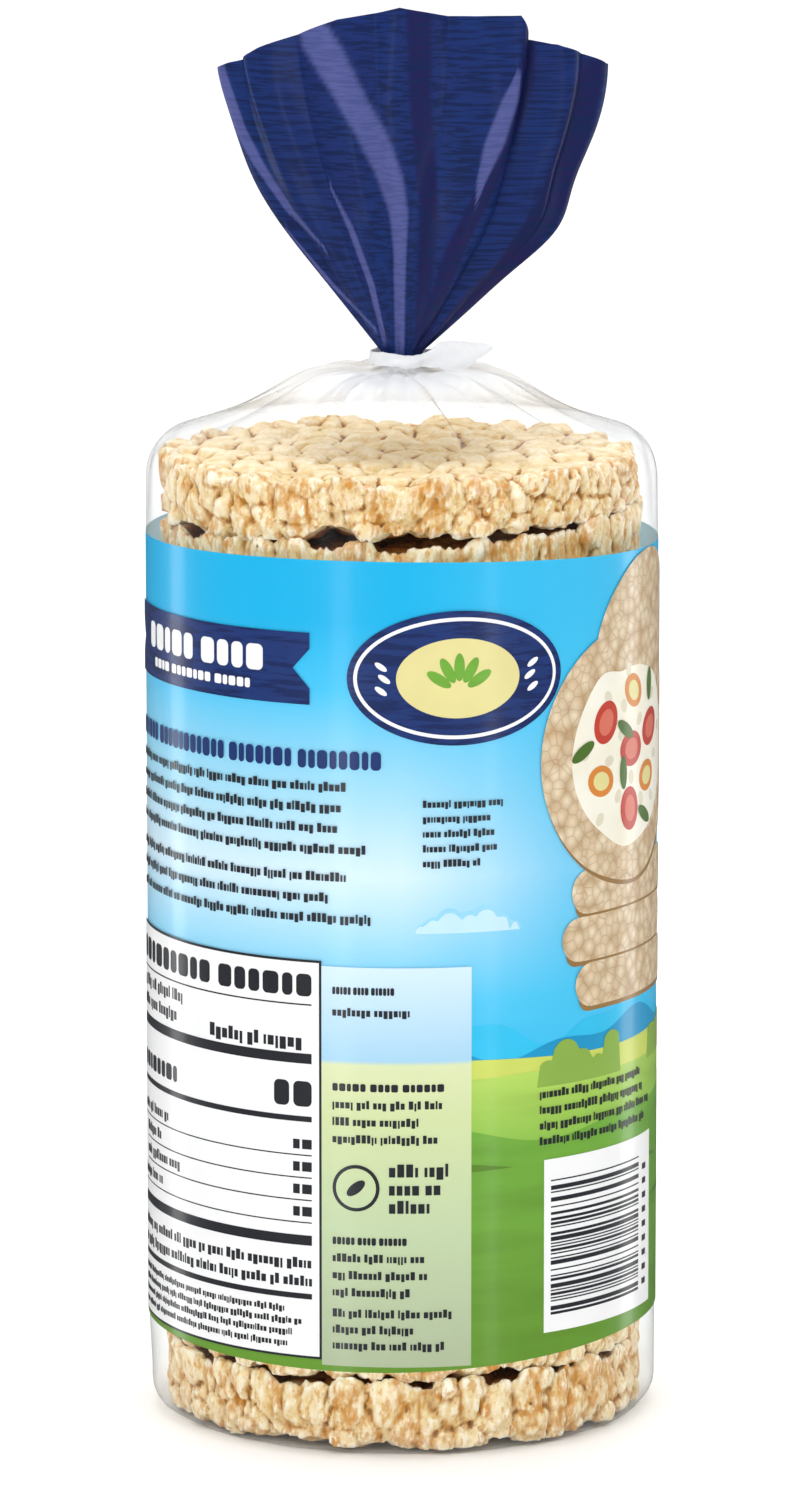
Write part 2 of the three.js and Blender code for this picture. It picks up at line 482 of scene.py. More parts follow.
def pictured_cake_material(name, shade, gap):
    """A printed picture of pebbly puffed grains."""
    shader = Shader(name)
    place = shader.place()
    grains = {"Vector": place, "Scale": 430.0}
    pebble = shader.node("TexVoronoi", grains, feature="SMOOTH_F1")
    seams = shader.node("TexVoronoi", grains, feature="DISTANCE_TO_EDGE").outputs["Distance"]
    broad = shader.noise(place, 0.004, 2.0)
    pits = shader.range(pebble.outputs["Distance"], 0.15, 0.7, 0.0, 0.75)
    base = shader.blend(pits, screen(shade), screen(gap))
    base = shader.blend(shader.range(broad, 0.4, 0.65, 0.0, 0.35), base, screen("d9b48c"))
    base = shader.blend(shader.range(seams, 0.0, 0.07, 0.45, 0.0), base, screen("a57f56"))
    return printed_surface(shader, base)


def puffed_rice_material(settings):
    """Dry puffed rice: cream grains, amber seams and bran flakes, dark specks and a fine foamy surface, with
    painted shade in the crevices and between the cakes and painted highlights on the grains' crowns.
    """
    shader = Shader("puffed rice")
    place = shader.place()
    upright = shader.place((1, 1, 0.45))
    crevice = shader.attribute("crevice")
    fine = shader.noise(place, 0.0011, 4.0, 0.65)
    broad = shader.noise(place, 0.0048, 3.0, 0.55)
    streak = shader.noise(upright, 0.0012, 3.0, 0.6)
    seam = shader.times(shader.attribute("seam"), shader.range(streak, 0.35, 0.6, 0.25, 1.0))
    on_rim = shader.range(shader.attribute("rim"), 0.2, 1.0, 0.12, 0.6)
    flake = shader.times(shader.range(streak, 0.40, 0.50), shader.attribute("bran"))
    spot = shader.node("TexVoronoi", {"Vector": place, "Scale": 150.0, "Randomness": 1.0})
    picked = shader.node("SeparateColor", {"Color": spot.outputs["Color"]}).outputs["Red"]
    speck = shader.times(shader.range(spot.outputs["Distance"], 0.07, 0.04), shader.range(picked, 0.70, 0.71))
    base = tuple(settings.cream)
    for share, shade in (
        (shader.range(shader.attribute("tone"), 0.2, 0.9, 0.0, 0.8), screen("e6c888")),  # darker grains
        (shader.range(broad, 0.48, 0.68, 0.0, 0.55), screen("dcb563")),  # broad golden patches
        (shader.range(fine, 0.5, 0.7, 0.0, 0.55), screen("fff4da")),  # pale foam
        (shader.range(crevice, 0.46, 0.20, 0.0, 0.7), screen("fff8e8")),  # painted highlight on the crowns of the grains
        (shader.times(seam, 0.75), screen("bc7a10")),
        # painted shade in the crevices, in amber
        (shader.range(crevice, 0.55, 0.80, 0.0, 0.9), tuple(settings.tan)),
        (shader.range(crevice, 0.68, 0.94, 0.0, 0.9), screen("6b3d08")),  # painted shade in the deepest crevices
        (shader.times(shader.range(streak, 0.54, 0.62), on_rim), screen("d08c14")),  # amber veins
        (shader.times(flake, 0.9), tuple(settings.bran)),
        (shader.times(speck, 0.85), screen("6e4a22")),
        # painted shade in the gaps between the cakes
        (shader.attribute("painted_gap_shade"), screen("c27c28")),
    ):
        base = shader.blend(share, base, shade)
    foam = shader.noise(place, 0.0007, 3.0, 0.7)
    wrinkle = shader.noise(upright, 0.0020, 3.0, 0.6)
    normal = shader.bump(foam, 0.00020, shader.bump(wrinkle, 0.0008))
    return shader.surface(base, 0.50, normal, subsurface_weight=0.15, subsurface_scale=0.002,
                          subsurface_radius=(1.0, 0.7, 0.4))


# ---------------------------------------------------------------- puffed rice cakes

BLISTER_AREA = 5.5e-6  # square metres of skin to each blister
BLISTER_WIDTH = 0.0011
NEAR_GRAINS = 7  # grains that are tried for each point of the skin
SEAM_DEPTH = 0.00060
PLATE_WAVE, PLATE_EASE = 0.0004, 0.0011  # unevenness of the pressed faces, and how softly grains meet them
RING_WAVE, RING_EASE = 0.0005, 0.0012
CREVICE_WIDTH, CREVICE_DEPTH = 0.0022, 0.0013
CORNER_SIZE, CORNER_POWER = 0.0045, 3.4  # reach of the squared upper rim, and how square it is
CAKE_LEAN = 0.012  # largest slope between two cakes
CAKE_SHIFT = 0.0007
CAKE_GAP = 0.0004
STACK_SEED, CAKE_SEED, SWELL_SEED = 7, 100, 300
STACK_FOOT = 0.0003  # the lowest cake stands on the film this far up
RIM_SWELL, SWELL_WIDTH = 0.014, 0.009  # unevenness of the rim: share of the radius, size in metres
UPPER_LIP = 0.0024  # how far a cake's upper rim stands up under the rounded foot of the next one
LOWEST_CAKE_TOP = 0.0133
TOP_CAKE_FOOT = 0.1787
TOP_CAKE_SLOPE = (0.035, 0.0)  # rise of the top cake's lower face towards the right and the back
DENT_REACH = (0.034, 0.044)  # radii where a chip starts and where it is deepest
# Chipped places of the rim by cake, counted from the top: degrees from the front, width in degrees, depth in
# millimetres (a bulge where it is negative), and 1 on the upper face or 0 on the lower.
RIM_DENTS = {
    1: ((-16, 5, 2.8, 0), (-33, 7, 0.5, 0), (8, 12, 0.5, 0)),
    2: ((3, 9, 1.5, 1), (14, 6, 0.5, 1), (-44, 9, -0.5, 1), (30, 9, -0.6, 1), (48, 12, -0.9, 1)),
    12: ((-20, 10, 0.8, 1),),
}
# How far the grains' centres stand inside the cake's skin, and how much smaller the core is, in metres.
FACE_INSET, FACE_DEPTH = 0.0034, 0.0031
SIDE_INSET, SIDE_DEPTH = 0.0029, 0.0080
CORE_INSET, CORE_DEPTH = 0.0016, 0.0044
FACE_SPACING, SIDE_SPACING = 0.0052, 0.0046
GRAIN_SIZES = (0.78, 1.22)
GRAIN_ROUNDNESS = 3  # subdivisions of a grain's ball
CAKE_SIDES = 96


def grain_tree(material):
    """Geometry Nodes: flat-lying grains above and below, upright grains round the edge, and a core."""
    tree = bpy.data.node_groups.new("puffed_grains", "GeometryNodeTree")
    sockets = {}
    for name in ("Radius", "Thickness", "Grain Length", "Grain Width", "Seed"):
        kind = "NodeSocketInt" if name == "Seed" else "NodeSocketFloat"
        sockets[name] = tree.interface.new_socket(name=name, in_out="INPUT", socket_type=kind).identifier
    tree.interface.new_socket(name="Geometry", in_out="OUTPUT", socket_type="NodeSocketGeometry")
    entry = tree.nodes.new("NodeGroupInput").outputs
    leave = tree.nodes.new("NodeGroupOutput")

    def node(kind, inputs=None, **settings):
        return add_node(tree, kind, inputs, **settings)

    def sum_of(a, b):
        return node("ShaderNodeMath", {0: a, 1: b}, operation="ADD").outputs[0]

    def times(a, b):
        return node("ShaderNodeMath", {0: a, 1: b}, operation="MULTIPLY").outputs[0]

    def random_between(low, high, salt):
        inputs = {"Min": low, "Max": high, "Seed": sum_of(entry["Seed"], float(salt))}
        return node("FunctionNodeRandomValue", inputs, data_type="FLOAT").outputs[1]

    def combine(x, y, z):
        return node("ShaderNodeCombineXYZ", {0: x, 1: y, 2: z}).outputs[0]

    def raised(geometry, height):
        lift = {"Geometry": geometry, "Translation": combine(0.0, 0.0, height)}
        return node("GeometryNodeTransform", lift).outputs[0]

    def cylinder(inset, depth, ends):
        size = {"Radius": sum_of(entry["Radius"], -inset), "Depth": sum_of(entry["Thickness"], -depth)}
        made = node("GeometryNodeMeshCylinder", {"Vertices": CAKE_SIDES, **size}, fill_type=ends)
        return raised(made.outputs["Mesh"], times(entry["Thickness"], 0.5))

    def grains(surface, gap, salt, upright):
        seed = sum_of(entry["Seed"], float(salt))
        spread = node(
            "GeometryNodeDistributePointsOnFaces",
            {"Mesh": surface, "Distance Min": gap, "Density Max": 90000.0, "Seed": seed},
            distribute_method="POISSON",
        )
        size = random_between(*GRAIN_SIZES, salt + 1)
        if upright:
            scale = combine(times(entry["Grain Width"], 0.42), times(entry["Grain Width"], times(size, 0.66)),
                            times(entry["Grain Length"], times(random_between(0.7, 1.2, salt + 4), 0.56)))
            outward_normal = {"Vector": spread.outputs["Normal"]}
            aligned = node("FunctionNodeAlignRotationToVector", outward_normal, axis="X")
            turn = combine(random_between(-1.1, 1.1, salt + 2), 0.0, random_between(-0.3, 0.3, salt + 3))
            turn = node("FunctionNodeEulerToRotation", {0: turn})
            rotation = node("FunctionNodeRotateRotation",
                            {0: aligned.outputs[0], 1: turn.outputs[0]}, rotation_space="LOCAL").outputs[0]
        else:
            scale = combine(times(entry["Grain Length"], times(size, 0.56)),
                            times(entry["Grain Width"], times(random_between(0.8, 1.2, salt + 4), 0.52)),
                            times(entry["Grain Width"], random_between(0.40, 0.60, salt + 9)))
            euler = combine(random_between(-0.30, 0.30, salt + 5), random_between(-0.25, 0.25, salt + 6),
                            random_between(0.0, TURN, salt + 7))
            rotation = node("FunctionNodeEulerToRotation", {0: euler}).outputs[0]
        ball = {"Radius": 1.0, "Subdivisions": GRAIN_ROUNDNESS}
        ball = node("GeometryNodeMeshIcoSphere", ball).outputs["Mesh"]
        placed = node(
            "GeometryNodeInstanceOnPoints",
            {"Points": spread.outputs["Points"], "Instance": ball, "Rotation": rotation, "Scale": scale},
        ).outputs["Instances"]
        toned = node("GeometryNodeStoreNamedAttribute",
                     {"Geometry": placed, "Name": "tone", "Value": random_between(0.0, 1.0, salt + 8)},
                     data_type="FLOAT", domain="INSTANCE")
        return toned.outputs["Geometry"]

    disc = {"Vertices": CAKE_SIDES, "Radius": sum_of(entry["Radius"], -FACE_INSET)}
    disc = node("GeometryNodeMeshCircle", disc, fill_type="NGON").outputs["Mesh"]
    upper = raised(disc, sum_of(entry["Thickness"], -FACE_DEPTH))
    lower = raised(disc, FACE_DEPTH)
    join = node("GeometryNodeJoinGeometry")
    for part in (
        grains(upper, FACE_SPACING, 10, False), grains(lower, FACE_SPACING, 30, False),
        grains(cylinder(SIDE_INSET, SIDE_DEPTH, "NONE"), SIDE_SPACING, 50, True),
        cylinder(CORE_INSET, CORE_DEPTH, "NGON"),
    ):
        tree.links.new(part, join.inputs[0])
    real = node("GeometryNodeRealizeInstances", {"Geometry": join.outputs[0]}).outputs[0]
    painted = node("GeometryNodeSetMaterial", {"Geometry": real, "Material": material}).outputs[0]
    tree.links.new(painted, leave.inputs[0])
    return tree, sockets


def after_modifier(mesh, kind, settings, inputs=None):
    """The plain mesh that one modifier makes of a mesh; inputs are its node tree's, by identifier."""
    holder = bpy.data.objects.new("holder", mesh)
    bpy.context.scene.collection.objects.link(holder)
    modifier = holder.modifiers.new("step", kind)
    for key, value in settings.items():
        setattr(modifier, key, value)
    for key, value in (inputs or {}).items():
        modifier[key] = value
    graph = bpy.context.evaluated_depsgraph_get()
    made = bpy.data.meshes.new_from_object(holder.evaluated_get(graph))
    holder.modifiers.remove(modifier)
    bpy.data.objects.remove(holder)
    return made


def smoothed(points, edges, rounds):
    """The points after averaging each with its neighbours a number of times."""
    count = len(points)
    first, second = edges[:, 0], edges[:, 1]
    ends = np.bincount(first, minlength=count) + np.bincount(second, minlength=count)
    current = points.copy()
    for _ in range(rounds):
        summed = np.stack([
            np.bincount(first, current[second, k], count) + np.bincount(second, current[first, k], count)
            for k in range(3)
        ], axis=1)
        current = 0.5 * current + 0.5 * summed / np.maximum(ends, 1)[:, None]
    return current


def finder_of(spots):
    """A search tree over an array of points."""
    finder = kdtree.KDTree(len(spots))
    for index, spot in enumerate(spots):
        finder.insert(spot, index)
    finder.balance()
    return finder


def cells(points, spots):
    """For each point its nearest spot's index, and how far it stands from the seam towards the next spot."""
    finder = finder_of(spots)
    found = [finder.find_n(point, 2) for point in points]
    index = np.array([pair[0][1] for pair in found])
    return index, np.array([pair[1][2] - pair[0][2] for pair in found])


def loose_grains(settings, tree, sockets, seed):
    """One cake's separate grains and core, from the node tree."""
    values = {
        "Radius": settings.radius, "Thickness": settings.thickness, "Grain Length": settings.grain_length,
        "Grain Width": settings.grain_width, "Seed": seed,
    }
    inputs = {sockets[name]: value for name, value in values.items()}
    return after_modifier(bpy.data.meshes.new("grains"), "NODES", {"node_group": tree}, inputs)


def grains_of(loose):
    """Each grain's tone, its centre, and the matrix that measures its ellipsoid as a ball of radius 1."""
    tone = numbers(loose.attributes["tone"].data, "value", kind=np.float32)
    points = points_of(loose)
    tones, owner = np.unique(tone, return_inverse=True)
    count = np.bincount(owner)
    centre = np.stack([np.bincount(owner, points[:, k]) for k in range(3)], axis=1) / count[:, None]
    offset = points - centre[owner]
    spread = np.empty((len(tones), 3, 3))
    for row in range(3):
        for column in range(3):
            spread[:, row, column] = np.bincount(owner, offset[:, row] * offset[:, column]) / count
    real = tones > 0  # the core has no tone
    return tones[real], centre[real], np.linalg.inv(3 * spread[real])


def grain_cells(points, centre, metric):
    """For each point its grain, and its distance from the seam in shares of the grain's size."""
    finder = finder_of(centre)
    near = np.array([[found[1] for found in finder.find_n(point, NEAR_GRAINS)] for point in points])
    offset = points[:, None, :] - centre[near]
    reach = np.sqrt((np.einsum("pnij,pnj->pni", metric[near], offset) * offset).sum(-1))
    order = np.argsort(reach, axis=1)[:, :2]
    reach = np.take_along_axis(reach, order, 1)
    return near[np.arange(len(points)), order[:, 0]], reach[:, 1] - reach[:, 0]


def fused_cake(settings, tree, sockets, seed, spacing):
    """One cake's mesh: fused grains, blistered, pressed between two plates, with its tones stored."""
    loose = loose_grains(settings, tree, sockets, seed)
    mesh = after_modifier(loose, "REMESH", {"mode": "VOXEL", "voxel_size": spacing})
    tones, centre, metric = grains_of(loose)
    bpy.data.meshes.remove(loose)
    points, normals = points_of(mesh), normals_of(mesh)
    grain, seam = grain_cells(points, centre, metric)

    # blisters, seams between the grains and a foamy skin, all deeper round the rim
    draw = np.random.default_rng(seed)
    upright = (1, 1, 0.6)
    rim = smooth(0.86, 0.97, np.hypot(points[:, 0], points[:, 1]) / settings.radius)
    picked = draw.choice(len(points), int(len(points) * spacing ** 2 / BLISTER_AREA), replace=False)
    blister, gap = cells(points * upright, points[picked] * upright)
    blister_tone = draw.random(len(picked))[blister]
    shift = (0.00034 * rim - SEAM_DEPTH) * (1 - smooth(0, 0.20, seam))
    shift += (0.00008 + 0.00036 * rim) * (smooth(0, BLISTER_WIDTH, gap) - 0.5) * (0.5 + blister_tone)
    foam = lattice_noise(points * (1, 1, 0.5), 0.0022, seed)
    shift += (0.00012 + 0.00024 * rim) * (0.5 - np.abs(foam) * 2)
    shift += (0.00009 + 0.00013 * rim) * lattice_noise(points, 0.0011, seed + 1)
    points = points + normals * shift[:, None]

    # the uneven plates and ring that the cake was pressed in
    level = points * (1, 1, 0)
    plate_low = 0.0001 + PLATE_WAVE * (1 + lattice_noise(level, 0.011, seed + 3))
    plate_high = settings.thickness - PLATE_WAVE * (1 - lattice_noise(level, 0.011, seed + 4))
    points[:, 2] = pressed(points[:, 2], plate_low, plate_high, PLATE_EASE)
    radial = np.hypot(points[:, 0], points[:, 1])
    ring = settings.radius + RING_WAVE * lattice_noise(points * upright, 0.009, seed + 5)
    kept = np.minimum(radial, pressed(radial, -1.0, ring, RING_EASE))
    points[:, :2] *= (kept / np.maximum(radial, 1e-9))[:, None]
    move_points(mesh, points)

    # how deep each point lies in a hollow, which the material uses for painted shade in the hollows and
    # painted highlights on the crowns
    rounds = max(2, int((CREVICE_WIDTH / spacing) ** 2))
    evened = smoothed(points, numbers(mesh.edges, "vertices", 2, int), rounds)
    hollow = ((evened - points) * normals_of(mesh)).sum(1)
    set_attribute(mesh, "crevice", np.clip(0.5 + hollow / CREVICE_DEPTH, 0, 1))
    set_attribute(mesh, "seam", 1 - smooth(0.02, 0.16, seam))
    set_attribute(mesh, "tone", 0.6 * tones[grain] + 0.4 * blister_tone)
    patch = lattice_noise(points * (1, 1, 0.4), 0.0036, seed + 2) + 0.25 * rim
    flakes = (blister_tone > 0.86) * smooth(0.0002, 0.0008, gap)
    set_attribute(mesh, "bran", np.maximum(0.6 * smooth(0.35, 0.7, patch), flakes) * (0.2 + 0.8 * rim))
    set_attribute(mesh, "rim", rim)
    return mesh


def pressed(values, low, high, ease):
    """Values squeezed softly between two plates."""
    top = high - ease
    squeezed = np.where(values > top, top + ease * np.tanh((values - top) / ease), values)
    bottom = low + ease
    return np.where(squeezed < bottom, bottom - ease * np.tanh((bottom - squeezed) / ease), squeezed)


def squared(points, radius, thickness):
    """Draws the rounded upper rim out towards a square corner."""
    size, power = CORNER_SIZE, CORNER_POWER
    across = np.hypot(points[:, 0], points[:, 1])
    side = np.clip((across - radius + size) / size, 0, None)
    up = np.clip((points[:, 2] - thickness + size) / size, 0, None)
    corner = (side > 0) & (up > 0)
    grow = np.ones(len(points))
    grow[corner] = np.hypot(side, up)[corner] / (side[corner] ** power + up[corner] ** power) ** (1 / power)
    outer = np.where(corner, radius - size + size * side * grow, across)
    points[:, :2] *= (outer / np.maximum(across, 1e-6))[:, None]
    points[:, 2] = np.where(corner, thickness - size + size * up * grow, points[:, 2])
    return points


def dented(points, thickness, dents):
    """Points after hollows at the front of the rim: angle, angular width, depth in mm, and 1 up or 0 down."""
    angle = np.degrees(np.arctan2(points[:, 0], -points[:, 1]))
    edge = smooth(*DENT_REACH, np.hypot(points[:, 0], points[:, 1]))
    moved = points.copy()
    for place, width, depth, face in dents:
        share = points[:, 2] / thickness if face else 1 - points[:, 2] / thickness
        hollow = depth * MM * edge * np.exp(-(((angle - place) / width) ** 2)) * np.clip(share, 0, 1) ** 2
        moved[:, 2] += -hollow if face else hollow
    return moved


def build_cakes(settings):
    """The stack, lowest cake first; the ones behind the print have a coarser mesh."""
    material = puffed_rice_material(settings)
    tree, sockets = grain_tree(material)
    prints = bpy.context.scene.pack_print
    draw = np.random.default_rng(STACK_SEED)
    slopes = draw.uniform(-CAKE_LEAN, CAKE_LEAN, (settings.count + 1, 2))
    slopes[0] = slopes[-1] = 0
    slopes[-2] = TOP_CAKE_SLOPE
    between_cakes = np.linspace(LOWEST_CAKE_TOP, TOP_CAKE_FOOT, settings.count - 1)
    levels = np.concatenate([[0], between_cakes, [STACK_TOP]])
    for number in range(settings.count):
        foot, head = levels[number] + CAKE_GAP / 2, levels[number + 1] - CAKE_GAP / 2
        shows = foot < prints.low or head > prints.high
        spacing = settings.fine if shows else settings.coarse
        mesh = fused_cake(settings, tree, sockets, CAKE_SEED + number, spacing)
        points = squared(points_of(mesh), settings.radius, settings.thickness)
        points = dented(points, settings.thickness, RIM_DENTS.get(settings.count - number, ()))
        rise = points[:, 2] / settings.thickness
        low, high = foot + points[:, :2] @ slopes[number], head + points[:, :2] @ slopes[number + 1]
        points[:, 2] = np.clip(mix(low, high, rise), STACK_FOOT, STACK_TOP)
        reach = np.hypot(points[:, 0], points[:, 1]) / settings.radius
        swell = lattice_noise(points, SWELL_WIDTH, SWELL_SEED + number) * smooth(0.7, 0.95, reach)
        points[:, :2] *= 1 + RIM_SWELL * swell[:, None]
        if number < settings.count - 1:
            points[:, 2] += UPPER_LIP * smooth(0.92, 0.97, reach) * smooth(0.5, 0.95, rise)
        # painted shade: the faces that touch another cake are darkened, where the gap between the cakes lies
        # in shadow
        below = 1 - smooth(0.1, 0.25, rise) if number else 0
        above = smooth(0.75, 0.9, rise) if number < settings.count - 1 else 0
        set_attribute(mesh, "painted_gap_shade", np.maximum(below, above) * (1 - smooth(0.86, 0.95, reach)))
        points[:, :2] += draw.uniform(-CAKE_SHIFT, CAKE_SHIFT, 2)
        move_points(mesh, points)
        add_piece(f"cake_{number + 1:02d}", mesh, material, "rice_cake", ["bag"], sharp=0)


# ---------------------------------------------------------------- bag film

BASE_ROUND = 0.0055
SHOULDER_WIDTH = 0.007
SHOULDER_RISE = 0.009
SHOULDER_START = STACK_TOP - 0.0061
SHOULDER_TURN = math.radians(70)
SHOULDER_EDGE = BAG_RADIUS - SHOULDER_WIDTH * (1 - math.cos(SHOULDER_TURN))
SHOULDER_TOP = SHOULDER_START + SHOULDER_RISE * math.sin(SHOULDER_TURN)
NECK_RADIUS = 0.004
NECK_FOOT = STACK_TOP + 0.0151
TENT_BULGE = (0.0034, 0.0039)  # left and right
TENT_BULGE_RADIUS = 0.019
TENT_BULGE_WIDTH = 0.011
TENT_PLEATS = 14
TENT_PLEAT_DEPTH = 0.0015
# Where the film is folded on its way to the neck: degrees from the front, and depth in millimetres.
TENT_FOLDS = (
    (-171, 0.7), (-146, 0.5), (-127, 0.8), (-101, 0.5), (-84, 0.7), (-62, 0.5), (-35, 1.5), (-12, 0.4),
    (11, 1.7), (29, 0.6), (50, 0.8), (68, 0.5), (88, 0.7), (109, 0.5), (133, 0.8),
    (158, 0.6),
)
FILM_COLUMNS = 480
BASE_RADII = (0.012, 0.028, 0.04)
WALL_LEVELS = (*np.linspace(0.008, 0.022, 8), 0.05, 0.1, 0.15, *np.linspace(0.172, 0.185, 8))
BASE_ROWS, SHOULDER_ROWS, TENT_ROWS = 7, 9, 34
BASE_HAZE, REAR_HAZE = 0.03, 0.34
PLUG_DEPTH = 0.003  # how far under the tape's top the film ends inside the neck


def on_circle(radius, angle, height):
    """Points at a radius, angle and height."""
    height = np.broadcast_to(height, angle.shape)
    return np.stack([radius * np.sin(angle), -radius * np.cos(angle), height], axis=-1)


def tent_height(radius, angle):
    """Height of the film over the cakes: a cone with a soft bulge, broad pleats and fine creases."""
    inward = (SHOULDER_EDGE - radius) / (SHOULDER_EDGE - NECK_RADIUS)
    bulge = mix(*TENT_BULGE, (1 + np.sin(angle)) / 2)
    fade = min(max((radius - 0.005) / 0.006, 0), 1)
    shape = fade * math.exp(-(((radius - TENT_BULGE_RADIUS) / TENT_BULGE_WIDTH) ** 2))
    depth = min(inward / 0.6, 1) * min(radius / TENT_BULGE_RADIUS, 1)
    phase = TENT_PLEATS * angle + 0.9 * np.sin(3 * angle) + 2
    pleat = 0.4 * TENT_PLEAT_DEPTH * depth * np.cos(phase)
    fold = 1.9 * folded(angle + np.radians(6) * math.sin(110 * radius + 1)) * depth
    return mix(SHOULDER_TOP, NECK_FOOT, inward) + bulge * shape + pleat - fold


def folded(angle):
    """How far the film lies under its folds: it drops behind each fold and comes back up before the next."""
    turns, depths = np.array(TENT_FOLDS + ((TENT_FOLDS[0][0] + 360, TENT_FOLDS[0][1]),)).T
    turned = turns[0] + np.mod(np.degrees(angle) - turns[0], 360)
    index = np.clip(np.searchsorted(turns, turned, side="right") - 1, 0, len(TENT_FOLDS) - 1)
    way = (turned - turns[index]) / (turns[index + 1] - turns[index])
    return depths[index] * MM * smooth(0, 0.14, way) * (1 - way) ** 2


def wall_radius(angle, height):
    """Radius of the film's wall, with faint upright draws where the bag is pulled towards the neck."""
    pull = smooth(STACK_TOP - 0.022, STACK_TOP - 0.002, height)
    foot = 1 - smooth(0.006, 0.018, height)
    draw = np.sin(23 * angle + 2 * np.sin(4 * angle)) * 0.00022 * pull
    tuck = np.sin(17 * angle + 3 * np.sin(2 * angle)) * 0.00025 * foot
    return BAG_RADIUS + draw + tuck - 0.0003 * (pull + foot)


def build_clear_film(settings):
    """The clear film from the base over the cakes to the neck, as one closed skin."""
    angle = np.arange(FILM_COLUMNS) / FILM_COLUMNS * TURN
    rear = REAR_HAZE * smooth(0.1, 0.8, -np.cos(angle))
    rows, gathered = [np.zeros((1, 3))], [np.zeros(1)]

    def add_row(radius, height, share):
        rows.append(on_circle(radius, angle, height))
        gathered.append(np.broadcast_to(share, angle.shape))

    for radius in BASE_RADII:
        add_row(radius, 0.0, 0.0)
    for turn in np.linspace(0, math.pi / 2, BASE_ROWS):
        height = BASE_ROUND * (1 - math.cos(turn))
        add_row(wall_radius(angle, height) - BASE_ROUND * (1 - math.sin(turn)), height, BASE_HAZE)
    for height in WALL_LEVELS:
        add_row(wall_radius(angle, height), height, 0.0)
    for turn in np.linspace(0, SHOULDER_TURN, SHOULDER_ROWS)[:-1]:
        radius = wall_radius(angle, SHOULDER_START) - SHOULDER_WIDTH * (1 - math.cos(turn))
        height = SHOULDER_START + SHOULDER_RISE * math.sin(turn)
        add_row(radius, height, smooth(0, SHOULDER_TURN, turn) * rear)
    for radius in np.linspace(SHOULDER_EDGE, NECK_RADIUS, TENT_ROWS):
        inward = (SHOULDER_EDGE - radius) / (SHOULDER_EDGE - NECK_RADIUS)
        front = smooth(0.38, 0.68, inward) * (0.75 + 0.25 * np.cos(angle))
        add_row(radius, tent_height(radius, angle), np.maximum(front, rear))
    for height in (NECK_FOOT + 0.001, TAPE_HIGH.z - PLUG_DEPTH):
        add_row(NECK_RADIUS * 0.9, height, 1.0)
    rows.append(np.array([[0, 0, TAPE_HIGH.z - PLUG_DEPTH + 0.0002]]))
    gathered.append(np.ones(1))
    mesh = ring_mesh(rows)
    set_attribute(mesh, "gathered", np.concatenate(gathered))
    add_piece("clear_film", mesh, clear_film_material(settings), "clear_film", ["bag"], sharp=0)


# Folds round the tail's mouth, by turns a ridge and a valley: degrees from the front, depth inside the tail's
# envelope, and height of the mouth's edge above the tail's foot, both in millimetres.
TAIL_FOLDS = (
    (-86.25, 0, 55.4), (-67.5, 2.4, 57.5), (-52.5, 0.3, 60.3), (-37.5, 1.9, 63), (-22.5, 0, 66.2),
    (-11.25, 1.1, 67.4), (-3.75, 0, 68.6), (11.25, 2.2, 66.8), (33.75, 0, 66.8), (41.25, 4.4, 61.8),
    (56.25, 1, 60), (67.5, 2.4, 58.7), (82.5, 0, 56.4), (108.75, 4.4, 55.6), (131.25, 0, 58.8),
    (146.25, 3.2, 59.2), (165, 0, 61.4), (180, 2.6, 60.6), (198.75, 0.3, 61), (213.75, 3.8, 59),
    (232.5, 0, 58), (251.25, 4.2, 55.4),
)
TAIL_FOOT = STACK_TOP + 0.0186
TAIL_HALF_WIDTH = 0.038
TAIL_HALF_DEPTH = 0.018
TAIL_CENTRE = 0.002
TAIL_CURL = (1.45, 1.9)  # left and right
TAIL_COLUMNS = 480
# Bands of the tail's film, each along points of (distance right of the middle, height, half width) in mm:
# painted sheen, paler where lamps would reflect in the folds, and painted shade, darker and purpler in the
# valleys and on the right.
SHEEN_BANDS = (
    ((-18.4, 68, 2.0), (-15.6, 61, 4.2), (-10.4, 51.7, 3.4), (-6.0, 43.9, 3.3), (-2.3, 35.3, 2.7),
     (-0.6, 28, 1.9), (-0.4, 21, 1.3), (-0.5, 10, 1.05), (-0.4, 0, 0.9)),
    ((22.5, 55.3, 0.5), (21.0, 50.5, 1.7), (17.9, 41.8, 2.1), (15.4, 34.5, 0.9), (14.5, 30.4, 0.1)),
    ((-13.9, 33.2, 0.1), (-9.9, 24.8, 0.6), (-6.0, 13.8, 0.6), (-3.4, 2.1, 0.4)),
    ((-35.6, 55.5, 1.2), (-31.7, 44, 1.3), (-28.0, 37, 1.2), (-21.9, 28, 0.9), (-14.8, 20.5, 0.1)),
    ((-22.6, 24, 0.1), (-13.9, 13.4, 0.5), (-5.2, 4.6, 0.3)),
)
SHADE_BANDS = (
    ((3.2, 68, 2.6), (3.5, 50, 2.2), (5.3, 30, 2.0), (4.4, 14, 1.4), (3.2, 0, 1.0)),
    ((24.8, 63.7, 1.2), (24.0, 53.3, 1.6), (21.0, 44.5, 1.8), (15.8, 31.9, 2.0), (10.4, 21, 2.0),
     (6.1, 8.5, 1.6), (3.5, 0.3, 1.0)),
    ((37.5, 57, 3.0), (34.0, 43.6, 3.2), (29.7, 30, 3.6), (21.0, 17, 3.2), (12.2, 9, 2.2), (5.3, 1, 1.2)),
)
TAIL_FLOOR = 0.14  # share of the tail's height where its inside ends
TAIL_ROWS = 56
# Where the tail bulges, on its right and its left: how far, at what share of its height, and over what share.
TAIL_SWELLS = ((1, 0.0032, 0.42, 0.14), (-1, 0.0015, 0.52, 0.22))
TAIL_UV_RADIUS = 0.035


